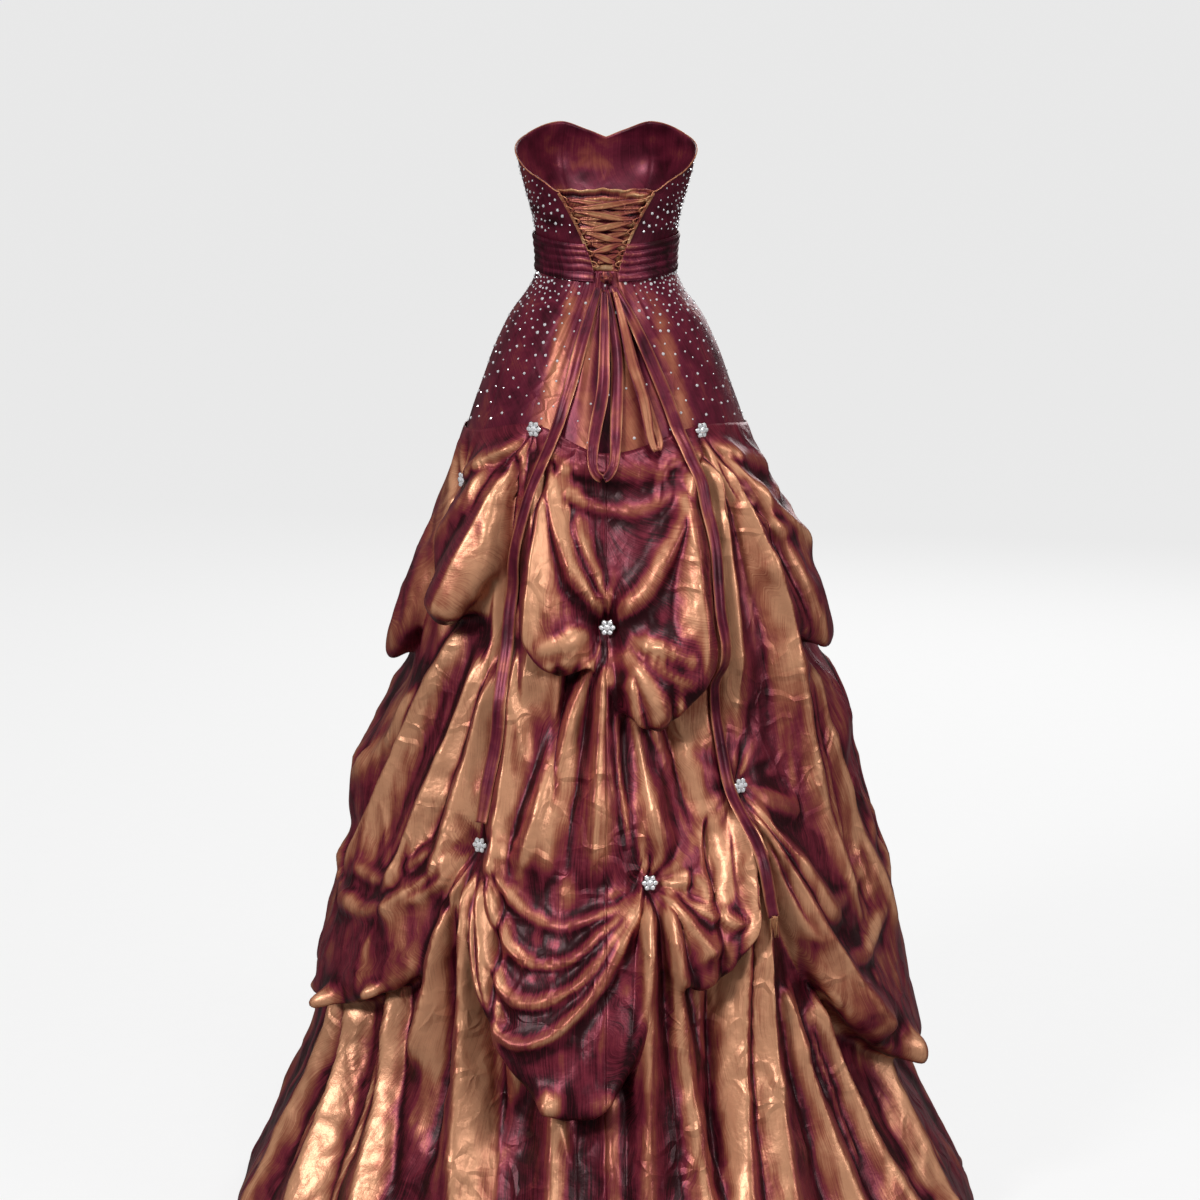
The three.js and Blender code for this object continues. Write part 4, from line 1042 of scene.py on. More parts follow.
    def profile(self, turns: np.ndarray) -> np.ndarray:
        """The skirt's profile at each turn: [outward, z] pairs from the top edge to the hem.

        Args:
            turns: one turn for each column.

        Returns:
            An array of columns, rows and pairs, mm.
        """
        at = wrap(turns)
        upper, lower = self.swag_at(UPPER_SWAGS, at), self.swag_at(LOWER_SWAGS, at)
        side = self.swag_at(SIDE_SWAGS, at)
        middle = (upper["bottom"] + lower["bottom"]) / 2
        between = {
            "bottom": np.where(side["on"] > 0, mix(middle, side["bottom"], side["turned"]), middle),
            "belly": side["belly"] * side["turned"],
            "tuck": side["tuck"],
            "turned": side["turned"],
        }
        top_turns, top_heights = zip(*SKIRT_TOP)
        top = (np.full_like(at, SKIRT_OUT), look(top_turns, top_heights, at))
        rows = [np.stack(top, -1)[:, None]]
        for swag, cells, rest in (
            (upper, self.rows[0:2], SKIRT_OUT),
            (between, self.rows[2:4], 0.0),
            (lower, self.rows[4:6], 0.0),
        ):
            rows += self.swag_rows((rows[-1][:, -1, 0], rows[-1][:, -1, 1]), swag, cells, rest)
        x, z = rows[-1][:, -1, 0], rows[-1][:, -1, 1]
        hem = [(x, z), (x - 6, mix(z, HEM_Z, 0.3)), (0 * x, mix(z, HEM_Z, 0.7)), (0 * x, 0 * z + HEM_Z)]
        rows.append(self.bezier(hem, self.rows[6]))
        whole = np.concatenate(rows, axis=1)
        for _ in range(12):
            whole[:, 1:-1] = (whole[:, :-2] + 2 * whole[:, 1:-1] + whole[:, 2:]) / 4
        return whole

    def gold_and_painted_light(self, grid: np.ndarray, turns: np.ndarray, raised: np.ndarray) -> np.ndarray:
        """How far the gold yarn shows at each point of the grid, with light and shade painted in.

        Args:
            grid: the gore's outer points, mm.
            turns: one turn for each column.
            raised: the height of the folds, mm.

        Returns:
            The share of gold with the painted light and shade, from 0 to 1.
        """
        facing = grid_normals(grid)
        crest = raised - blur(blur(raised, 9, 0), 9, 1)
        ridge = raised - blur(blur(raised, 2, 0), 1, 1)
        out = np.sum(facing * place(turns, 1, 0)[:, None], -1)
        inwards = -np.tanh(2.5 * np.sin(np.radians(2 * turns + 8)))[:, None]
        aside = inwards * np.sum(facing * place(turns + 90, 1, 0)[:, None], -1)
        patch = Noise(5).at(grid, 70, 70, 300) + 0.6 * Noise(6).at(grid, 26, 26, 150)
        streak = Noise(7).at(grid, 9, 9, 150)
        rule = self.gold
        # painted light: flanks that face one way, cloth that faces out or up, and raised crests are lighter
        value = rule.aside * aside + rule.out * (out - 0.85) + rule.up * facing[..., 2] + rule.crest * crest
        # painted light: lighter on the wearer's left side, where the key lamp stands
        value = value + rule.left * np.sin(np.radians(turns))[:, None]
        value = value + rule.patch * patch + rule.streak * streak - 0.12
        # painted shade in the crevices between folds
        painted_crevice_shade = rule.painted_crevice_shade * smooth((-11 - crest) / 9)
        below_edge = smooth((grid[:, :1, 2] - grid[..., 2] - 4) / 40)
        # painted highlight along sharp ridges
        lines = rule.line * np.clip(ridge, -0.8, 0.9)
        share = np.maximum(rule.base + value * below_edge, rule.least)
        return np.clip(share + (lines - painted_crevice_shade) * below_edge, 0, 1)

    def build(self) -> list[Object]:
        """Builds the gores and keeps their surfaces for what rests on them.

        Returns:
            The gores.
        """
        made = []
        for name, start, end, columns in self.gores:
            step = (end - start) / (columns - 1)
            turns = start + step * np.arange(-self.margin, columns + self.margin)
            profile = self.profile(turns)
            z = profile[..., 1]
            raised = smooth((z[:, :1] - 1 - z) / 26) * blur(self.folds_at(turns, z), 1, 1)
            raised[:, 0] = 0
            radius = plain_radius(turns[:, None], z) + profile[..., 0] + raised
            grid = place(turns[:, None], radius, z)
            dents = self.dents * (1 - np.abs(Noise(2).at(grid, 34, 34, 60)))
            buckles = self.buckles * (1 - np.abs(Noise(4).at(grid, 45, 45, 150))) ** 2
            crumple = dents + self.ripples * Noise(3).at(grid, 17, 17, 26) + buckles
            settled = smooth((z[:, :1] - 4 - z) / 26) * smooth((z - HEM_Z) / 20)
            grid = grid + grid_normals(grid) * ((crumple - 4) * settled)[..., None]
            grid[..., 2] += 8 * settled * Noise(9).at(grid, 70, 70, 70)
            own = slice(self.margin, -self.margin)
            gold = self.gold_and_painted_light(grid, turns, raised)[own]
            shift = np.zeros(columns)
            shift[0], shift[-1] = self.seam / 2, -self.seam / 2
            grid = grid[own] + (place(turns[own] + 90, 1, 0) * shift[:, None])[:, None]
            made.append(add_shell(name, grid, self.cloth, gold, Finish.SKIRT))
            self.surface[name] = grid
        return made


def opening_turn(z: np.ndarray) -> np.ndarray:
    """The turn of the edge of the V at a height."""
    return look([row[0] for row in OPENING], [row[1] for row in OPENING], z)


def neck_z(turn: np.ndarray) -> np.ndarray:
    """The height of the bodice's top edge at a turn."""
    return look([row[0] for row in NECK], [row[1] for row in NECK], np.abs(wrap(turn)))


def bodice_radius(turn: np.ndarray, z: np.ndarray) -> np.ndarray:
    """The bodice's outer radius, with its two cups.

    Args:
        turn: turns, degrees.
        z: heights, mm.

    Returns:
        The radii, mm.
    """
    radius = plain_radius(turn, z)
    for sign in (-1, 1):
        across = wrap(turn - 180 - sign * 29) * DEGREE * plain_radius(180, z)
        radius = radius + 13 * np.exp(-((across / 42) ** 2) - ((z - 108) / 44) ** 2)
    return radius


@dataclass
class FittedYoke:
    """The fitted yoke over the hips, gathered at the centre back, in a back and a front half."""

    top: float = -13.0
    tucked_in: float = 12.0
    cloth: float = 1.0
    halves: tuple = (("yoke_back", -90.0, 90.0, 240), ("yoke_front", 90.0, 270.0, 120))
    strips: tuple = (
        (28, 5.5, 0.42), (-37, 6, 0.3), (-11, 3.5, 0.34), (10, 3, 0.26), (0, 4, -0.34),
    )  # turn, half width and strength of the strips where the gold shows

    def surface(self, turns: np.ndarray, shares: np.ndarray) -> tuple[np.ndarray, np.ndarray]:
        """Outer points of the yoke, and the height of its gathers.

        Args:
            turns: one turn for each column.
            shares: the shares of the way down.

        Returns:
            The grid in mm and the gathers in mm.
        """
        top_turns, top_heights = zip(*SKIRT_TOP)
        bottom = look(top_turns, top_heights, wrap(turns)) - self.tucked_in
        z = mix(self.top, bottom[:, None], shares[None])
        near = smooth(1 - np.abs(wrap(turns)) / 46)[:, None]
        spread = wrap(turns)[:, None] / (0.42 + 0.58 * shares[None] ** 0.8)
        folds = np.cos(np.radians(7 * spread * 3.6)) + 0.7 * np.cos(np.radians(11.3 * spread * 3.6 + 40))
        folds = folds + 0.4 * np.cos(np.radians(19 * spread * 3.1 + 110))
        fall = np.sin(np.pi * np.minimum(shares * 1.15 + 0.08, 1))[None]
        gathers = (1.5 * folds - 1.6) * near * fall
        seam = -0.9 * np.exp(-((np.abs(wrap(turns)) - 62) ** 2) / 0.9)[:, None] * np.ones_like(z)
        grid = place(turns[:, None], plain_radius(turns[:, None], z) + gathers + seam, z)
        soft = Noise(21).at(grid, 26, 26, 60)
        return grid + grid_normals(grid) * (0.7 * soft - 0.5)[..., None], gathers

    def build(self) -> list[Object]:
        """Builds the two halves.

        Returns:
            The halves.
        """
        made = []
        for name, start, end, columns in self.halves:
            turns, shares = np.linspace(start, end, columns), np.linspace(0, 1, 70)
            grid, gathers = self.surface(turns, shares)
            middle = smooth(1.25 - np.abs(wrap(turns)) / 30)[:, None]
            patch = Noise(22).at(grid, 20, 20, 70)
            at = wrap(turns)
            strips = sum(high * np.exp(-(((at - turn) / wide) ** 2)) for turn, wide, high in self.strips)
            strips = strips[:, None] * smooth(shares / 0.25)[None]
            strips = strips * (1 + 0.5 * Noise(23).at(grid, 14, 14, 60))
            gold = 0.24 + strips + 0.14 * middle * (0.8 + 0.25 * patch)
            gold = gold + 0.05 * gathers * middle + 0.1 * patch
            made.append(add_shell(name, grid, self.cloth, gold, Finish.BEADED))
        return made


@dataclass
class Bodice:
    """The strapless bodice: a front with cups and two backs that end at the V of the lacing."""

    bottom: float = -12.7
    side: float = 96.0
    cloth: float = 1.2

    def column(self, turn_at: Callable, rows: int) -> np.ndarray:
        """One column of outer points from the top edge down.

        Args:
            turn_at: gives the column's turn at heights, or at its top for None.
            rows: how many points.

        Returns:
            The points, mm.
        """
        share = np.linspace(0, 1, rows)
        z = mix(float(neck_z(turn_at(None))), self.bottom, share)
        turn = turn_at(z)
        seams = sum(np.exp(-((np.abs(wrap(turn)) - at) ** 2) / 0.8) for at in (60.0, 118.0, 151.0))
        return place(turn, bodice_radius(turn, z) - 0.8 * seams, z)

    def build(self) -> list[Object]:
        """Builds the front, the two backs and the gold piping of their edges.

        Returns:
            The pieces.
        """
        made = []
        edges = []
        for name, sign in (("bodice_back_left", 1), ("bodice_back_right", -1)):
            columns = []
            for s in np.linspace(0, 1, 64):
                def turn_at(z: np.ndarray | None, s: float = s) -> np.ndarray:
                    """The column's turn at heights, or at its top where there is none."""
                    height = neck_z(opening_turn(88)) if z is None else z
                    return sign * mix(opening_turn(height), self.side, s)
                columns.append(self.column(turn_at, 56))
            grid = np.array(columns if sign > 0 else columns[::-1])
            made.append(self.dress(name, grid))
            edges += [np.array(columns[0]), np.array([column[0] for column in columns])]
        turns = np.linspace(self.side, 360 - self.side, 150)
        front = np.array([self.column(lambda z, t=t: t + (0 if z is None else 0 * z), 60) for t in turns])
        made.append(self.dress("bodice_front", front))
        edges.append(front[:, 0])
        made.append(self.piping(edges))
        return made

    def dress(self, name: str, grid: np.ndarray) -> Object:
        """Makes one panel's shell, with soft pulls in its cloth.

        Args:
            name: the node's name.
            grid: the panel's outer points, mm.

        Returns:
            The panel.
        """
        pull = Noise(31).at(grid, 30, 30, 16)
        grid = grid + grid_normals(grid) * (0.5 * pull - 0.4)[..., None]
        return add_shell(name, grid, self.cloth, 0.24 + 0.16 * pull, Finish.BEADED)

    def piping(self, edges: list) -> Object:
        """Makes the thin gold piping along the top edge and both sides of the V.

        Args:
            edges: the lines that it follows, mm.

        Returns:
            The piping.
        """
        parts = []
        for edge in edges:
            path = spline(edge + outwards(edge) * 0.5, 4)
            parts.append(sweep(path, sideways(path), round_section(8, 1.7), np.full(len(path), 1.7)))
        points, faces = join(parts)
        made = add_object("bodice_piping", points, faces, Finish.GOLD)
        add_cloth_data(made.data, np.full(len(points), 0.5), points[:, [0, 2]])
        return made


@dataclass
class Waistband:
    """The ruched waistband, from one edge of the V round the front to the other."""

    top: float = 31.0
    bottom: float = -17.0
    dip: float = 9.0
    out: float = 4.5
    pleats: int = 5
    cloth: float = 1.4

    def build(self) -> Object:
        """Builds the band.

        Returns:
            The band.
        """
        s, t = np.linspace(0, 1, 260)[:, None], np.linspace(0, 1, 60)[None]
        z = mix(self.top, self.bottom, t) - self.dip * np.maximum(0, np.cos(2 * np.pi * s)) ** 2
        turn = mix(opening_turn(z), 360 - opening_turn(z), s)
        sway = 0.5 * np.sin(2 * np.pi * 3 * s + 1) + 0.35 * np.sin(2 * np.pi * 7 * s)
        sway = sway + 0.2 * np.sin(26 * np.pi * s)
        phase = self.pleats * t + 0.32 * sway * np.sin(np.pi * t)
        saw = phase - np.floor(phase)
        pleat = 1.9 * (np.sin(np.pi * saw) ** 0.7) * (1 - 0.45 * saw)
        ends = np.minimum(smooth(s * 60), smooth((1 - s) * 60))
        rim = np.minimum(smooth(t * 14), smooth((1 - t) * 14))
        radius = bodice_radius(turn, z) + self.out - 1.2 + pleat * rim * (0.5 + 0.5 * ends)
        grid = place(turn, radius, z)
        soft = Noise(41).at(grid, 22, 22, 7)
        grid = grid + grid_normals(grid) * (0.5 * soft)[..., None]
        near = smooth(1 - np.minimum(s, 1 - s) / 0.085)
        # more gold towards the V, with painted highlights on the crests of the pleats there
        gold = 0.17 + 0.55 * near * (0.35 + 0.65 * smooth(pleat - 0.9)) + 0.12 * soft
        return add_shell("waistband", grid, self.cloth, gold, Finish.BAND)


@dataclass
class ModestyPanel:
    """The gathered panel behind the lacing."""

    inset: float = 2.35
    top: float = 93.0
    bottom: float = -16.0
    reach: float = 43.0

    def build(self) -> Object:
        """Builds the panel, with its uneven crosswise folds.

        Returns:
            The panel.
        """
        s, t = np.linspace(-1, 1, 110)[:, None], np.linspace(0, 1, 150)[None]
        crown = 2.2 * np.cos(np.pi / 2 * s) ** 2 + 0.9 * np.sin(9 * s + 1) + 0.6 * np.sin(21 * s)
        z = mix(self.top, self.bottom, t) + (crown - 1.5) * (1 - t) ** 3
        turn = s * np.minimum(self.reach, opening_turn(z) + 7)
        slant = 0.55 * s + 0.25 * np.sin(3 * s + 2)
        folds = np.sin(2 * np.pi * (6.5 * t + slant)) + 0.6 * np.sin(2 * np.pi * (11 * t - 0.8 * slant) + 1)
        folds = folds + 0.3 * np.sin(2 * np.pi * (19 * t + 0.3 * slant))
        radius = plain_radius(turn, z) - self.inset - 1.6 + 0.95 * folds
        grid = place(turn, radius, z)
        # painted light and shade: the folds' crests lighter and their hollows darker, with random tone
        gold = 0.34 + 0.2 * folds + 0.2 * Noise(51).at(grid, 18, 18, 9)
        return add_shell("modesty_panel", grid, 1.0, gold, Finish.GOLD)


@dataclass
class Ribbons:
    """What is made of flat ribbon: the lacing, its loops, and the ties with their bow."""

    skirt: DrapedSkirt
    yoke: FittedYoke
    loops: int = 7
    lace_top: float = 80.0
    lace_bottom: float = -4.0
    tails: tuple = (
        ("tie_tail_right", (
            (-6, -31, 2.4, 9), (-14, -60, 2.4, 14), (-21, -100, 2.4, 17), (-27, -148, 1, 18),
            (-30.5, -192, 2.4, 18), (-32, -236, 2.4, 17), (-34, -300, 2.4, 17), (-34, -374, 2.4, 17),
            (-32.5, -440, 2.4, 18), (-32, -500, 2.4, 18), (-32.5, -560, 2.4, 18), (-33, -624, 2.4, 18),
            (-34, -738, 2.4, 18), (-35.5, -822, 2.4, 17),
        )),
        ("tie_tail_left", (
            (6, -31, 2.4, 9), (10, -60, 2.4, 13), (14, -100, 2.4, 16), (17.5, -147, 1, 17),
            (20.5, -192, 2.4, 17), (23, -242, 2.4, 17), (26, -300, 2.4, 17), (29, -364, 2.4, 17),
            (30.5, -423, 2.4, 18), (30, -490, 2.4, 18), (29, -562, 2.4, 18), (30.5, -648, 2.4, 18),
            (31, -705, 2.4, 17),
        )),
        ("bow_loop_centre", (
            (0.5, -31, 3, 7), (-3.5, -70, 1.2, 12), (-6, -120, 0.6, 15), (-5, -170, 0.6, 16),
            (-4, -212, 4.5, 15), (-3, -248, 6, 12), (1, -266, 10, 11), (5, -250, 14, 12),
            (4.5, -205, 14, 16), (1.5, -160, 9, 16), (1, -115, 9, 14), (1, -70, 10, 12), (1.5, -32, 10, 7),
        )),
        ("bow_loop_right", (
            (-6, -34, 6, 6), (-10, -70, 5, 11), (-13.2, -112, 2.6, 14), (-18, -170, 0.6, 16),
            (-22.5, -218, 1.5, 10), (-20.2, -234, 7.5, 8), (-17.5, -218, 13, 11), (-17, -170, 11, 16),
            (-12.5, -120, 11, 14), (-10, -75, 13, 10), (-6.5, -38, 13, 6),
        )),
    )

    def __post_init__(self) -> None:
        """Gathers the points of the cloth that the ties lie on."""
        turns, shares = np.linspace(-60, 60, 240), np.linspace(0, 1, 110)
        below = [self.yoke.surface(turns, shares)[0]]
        below += [self.skirt.surface[name] for name in ("skirt_back_left", "skirt_back_right")]
        points = np.concatenate([grid.reshape(-1, 3) for grid in below])
        x, y, z = points.T
        self.below = np.stack([np.degrees(np.arctan2(x, y)), z, np.hypot(x, y)], -1)

    def seat(self, turn: float, z: float, width: float) -> float:
        """How far out the cloth lies under a ribbon at a turn and height, mm.

        Args:
            turn: the turn, degrees.
            z: the height, mm.
            width: the ribbon's width, mm.

        Returns:
            The radius, mm.
        """
        around = DEGREE * float(plain_radius(turn, z))
        near = (np.abs(self.below[:, 0] - turn) * around < width / 2 + 1) & (np.abs(self.below[:, 1] - z) < 6)
        return float(self.below[near, 2].max()) if near.any() else float(plain_radius(turn, z))

    @staticmethod
    def section(thick: float, camber: float, crease: float) -> np.ndarray:
        """A ribbon's outline: cambered, with a soft crease along its middle.

        Args:
            thick: its thickness, mm.
            camber: how far its middle stands up, mm.
            crease: how deep the crease is, mm.

        Returns:
            The outline for sweep.
        """
        u = np.linspace(-0.5, 0.5, 11)
        top = camber * np.cos(np.pi * u) - crease * np.exp(-((u / 0.12) ** 2))
        upper = np.stack([u, top + thick / 2], -1)
        lower = np.stack([u[::-1], top[::-1] - thick / 2], -1)
        return np.concatenate([upper, lower])

    def ribbon(
        self, node: str, path: np.ndarray, widths: np.ndarray, across: np.ndarray, section: np.ndarray,
        finish: Finish, gold: tuple,
    ) -> Object:
        """Makes one ribbon, which takes a CAD node's place.

        Args:
            node: the node's name.
            path: its middle line, mm.
            widths: its width at each point, mm.
            across: the direction of its width.
            section: its outline.
            finish: its finish.
            gold: how far the gold yarn shows at the middle and at the edges; on the lacing the dark edges are
                painted shade.

        Returns:
            The object.
        """
        points, faces = sweep(path, across, section, widths)
        made = add_object(f"{node}_ribbon", points, outward(points, faces), finish)
        count, sides = len(path), len(section)
        edge = np.tile(smooth((np.abs(section[:, 0]) - 0.36) / 0.1), count)
        vary = 0.22 * Noise(61).at(points, 12, 12, 55)
        along = np.concatenate([[0], np.cumsum(np.linalg.norm(np.diff(path, axis=0), axis=-1))])
        uv = np.stack([np.tile(section[:, 0], count) * np.repeat(widths, sides), np.repeat(along, sides)], -1)
        add_cloth_data(made.data, np.clip(mix(gold[0], gold[1], edge) + vary, 0, 1), uv)
        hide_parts(node)
        return made

    @property
    def pitch(self) -> float:
        """The height from one loop to the next, mm."""
        return (self.lace_top - self.lace_bottom) / (self.loops - 1)

    @staticmethod
    def edge_x(z: float) -> float:
        """How far to the side the edge of the V lies at a height, mm along the cloth."""
        return float(opening_turn(z)) * DEGREE * float(plain_radius(0, z))

    def lacing(self) -> list[Object]:
        """Builds the two lace strands that zigzag down the V.

        Returns:
            The strands.
        """
        made = []
        for name, start, lift in (("lace_under", 1, -0.8), ("lace_over", -1, 1.3)):
            rows = []

            def station(x: float, z: float, up: float, wide: float) -> None:
                """Adds a station of the lace.

                Args:
                    x: its place across, mm.
                    z: its height, mm.
                    up: how far it lies over the body, mm.
                    wide: the lace's width there, mm.
                """
                side, back = (float(look(SECTION_Z, half, z)) for half in (SECTION_SIDE, SECTION_BACK))
                y = math.sqrt(1 - (x / side) ** 2) * back
                out = np.array([x, y, 0]) / math.hypot(x, y)
                rows.append([*(np.array([x, y, z]) + out * up), wide])

            for i in range(self.loops - 1):
                z0, z1 = self.lace_top - i * self.pitch, self.lace_top - (i + 1) * self.pitch
                sign = start if i % 2 == 0 else -start
                reach = [self.edge_x(z) - 3.5 for z in (z0, z1)]
                x0, x1 = sign * reach[0], -sign * reach[1]
                if i > 0:
                    station(x0, z0, lift, 2.6)
                station(x0 - sign * 3.4, z0 - 1.7, lift - 0.65, 3.2)
                for t in (0.22, 0.4, 0.6, 0.78):
                    wide = 6.6 if t in (0.22, 0.78) else 9.0
                    station(mix(x0, x1, t), mix(z0, z1, t), lift + 0.65 * (2 * t - 1), wide)
                station(x1 + sign * 3.4, z1 + 1.7, lift + 0.65, 3.2)
            stations = spline(np.array(rows), 2.5)
            path, widths = stations[:, :3], stations[:, 3]
            outline = self.section(0.7, 0.5, 0.5)
            # painted shade: the laces' edges are darkened, as shade between the strands
            made.append(self.ribbon(name, path, widths, sideways(path), outline, Finish.GOLD, (0.5, 0.02)))
        return made

    def lace_loops(self) -> list[Object]:
        """Builds the rolled loops along both edges of the V, on their tapes.

        Returns:
            The two rows of loops.
        """
        made = []
        for name, sign in (("loop_tape_left", 1), ("loop_tape_right", -1)):
            parts = []
            for i in range(self.loops):
                z = self.lace_top - i * self.pitch
                stations = []
                for swing in np.linspace(-1, 1, 13):
                    height = z + 3.9 * swing
                    x = self.edge_x(height) + 1.2 - 8.0 * (1 - swing**2) ** 0.6
                    turn = sign * x / (DEGREE * float(plain_radius(0, height)))
                    out = float(plain_radius(turn, height)) + 2.2 + 0.9 * (1 - swing**2)
                    stations.append(place(turn, out, height))
                path = spline(np.array(stations), 1.4)
                parts.append(sweep(path, sideways(path), round_section(8, 1.7), np.full(len(path), 1.7)))
            heights = np.linspace(self.lace_top + 7, self.lace_bottom - 6, 40)
            turns = sign * (opening_turn(heights) + 0.8)
            path = place(turns, plain_radius(turns, heights) + 1.3, heights)
            parts.append(sweep(path, sideways(path), self.section(0.8, 0.2, 0.0), np.full(len(path), 3.6)))
            points, faces = join(parts)
            made.append(add_object(f"{name}_loops", points, faces, Finish.GOLD))
            add_cloth_data(made[-1].data, 0.55 + 0.25 * Noise(62).at(points, 5, 5, 5), points[:, [0, 2]])
            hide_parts(name)
        return made

    def ties(self) -> list[Object]:
        """Builds the two tails and the two loops of the bow.

        Returns:
            The ties, and the fringe of the longer tail.
        """
        made = []
        for name, rows in self.tails:
            fine = spline_rows(rows, 5)
            path = np.array([place(turn, self.seat(turn, z, wide) + lift, z) for turn, z, lift, wide in fine])
            path = np.stack([blur(path[:, k], 2, 0) for k in range(3)], -1)
            across = np.stack([path[:, 1], -path[:, 0], 0 * path[:, 0]], -1)
            sway = np.radians(14 * np.sin(np.linspace(0, 9, len(path)) + len(name)))
            out = outwards(path)
            across = unit(across) * np.cos(sway)[:, None] + out * np.sin(sway)[:, None]
            gold = (0.7, 0.3) if name == "bow_loop_right" else (0.26, 0.8)
            outline = self.section(0.9, 1.0, 1.0)
            made.append(self.ribbon(name, path, fine[:, 3], across, outline, Finish.BEADED, gold))
            if name == "tie_tail_right":
                made.append(self.fringe(path[-1], unit(across[-1]), out[-1]))
        return made

    def fringe(self, end: np.ndarray, across: np.ndarray, out: np.ndarray) -> Object:
        """Builds the frayed threads at the end of the longer tail.

        Args:
            end: the middle of the tail's end, mm.
            across: the direction of the tail's width.
            out: the direction away from the gown.

        Returns:
            The object.
        """
        draw = np.random.default_rng(64)
        ring = round_section(5, 1.0)
        parts = []
        for side in np.linspace(-6.5, 6.5, 26):
            drop = np.linspace(0, draw.uniform(16, 30), 7)[:, None]
            spread = side * (0.75 + 0.012 * drop) + draw.uniform(-1.5, 1.5) * np.sin(drop / 9)
            path = end + across * spread + out * (0.4 + draw.uniform(0, 1.2) * drop / 16) - drop * [0, 0, 1]
            path = path + [0, 0, 1.5]  # each thread starts a little inside the tail
            parts.append(sweep(path, np.tile(across, (7, 1)), ring, np.full(7, 0.7)))
        points, faces = join(parts)
        made = add_object("tie_tail_right_fringe", points, faces, Finish.GOLD)
        add_cloth_data(made.data, np.full(len(points), 0.6), points[:, [0, 2]])
        return made

    def knot(self) -> Object:
        """Builds the knot: a soft pleated ball with one turn of ribbon over it.

        Returns:
            The knot.
        """
        theta, phi = np.linspace(0, np.pi, 22)[:, None], circle(36)[None]
        swell = 1 + 0.07 * np.sin(5 * phi + 3 * theta) * np.sin(theta) + 0.05 * np.cos(9 * theta)
        x, y = 8.5 * np.sin(theta) * np.cos(phi) * swell, 5 * np.sin(theta) * np.sin(phi) * swell
        ball = np.stack([x, y, 7.5 * np.cos(theta) * swell * np.ones_like(phi)], -1).reshape(-1, 3)
        number = np.arange(22 * 36).reshape(22, 36)
        after = np.roll(number, -1, axis=1)
        quads = np.stack([number[:-1], number[1:], after[1:], after[:-1]], -1)
        faces = quads[1:-1].reshape(-1, 4).tolist()
        faces += [[int(number[0, 0]), int(p), int(q)] for p, q in zip(number[1], after[1])]
        faces += [[int(number[-1, 0]), int(q), int(p)] for p, q in zip(number[-2], after[-2])]
        used = sorted({i for face in faces for i in face})
        renumber = {old: new for new, old in enumerate(used)}
        ball, faces = ball[used], [[renumber[i] for i in face] for face in faces]
        angle = np.linspace(0, 2 * np.pi, 40)
        loop = np.stack([1.5 * np.sin(angle), 5.6 * np.cos(angle), 8.3 * np.sin(angle)], -1)
        band = sweep(loop, np.tile([1.0, 0, 0], (40, 1)), self.section(0.9, 0.4, 0.3), np.full(40, 7.5))
        points, faces = join(((ball, faces), band))
        points = points + [0, float(plain_radius(0, -20)) + 7.9, -20]
        made = add_object("tie_knot_cloth", points, faces, Finish.GOLD)
        add_cloth_data(made.data, 0.2 + 0.3 * Noise(63).at(points, 5, 5, 5), points[:, [0, 2]])
        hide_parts("tie_knot")
        return made

    def build(self) -> list[Object]:
        """Builds every ribbon."""
        return [*self.lacing(), *self.lace_loops(), *self.ties(), self.knot()]


def spline_rows(rows: tuple, step: float) -> np.ndarray:
    """Stations of a tie drawn finer, about step mm apart in height.

    Args:
        rows: turn, height, lift and width of each station.
        step: the spacing, mm.

    Returns:
        The finer rows.
    """
    rows = np.array(rows, float)
    at = np.arange(len(rows))
    long = np.abs(np.diff(rows[:, 1])).sum()
    fine = np.linspace(0, len(rows) - 1, int(long / step) + 1)
    return np.stack([look(at, rows[:, k], fine) for k in range(4)], -1)


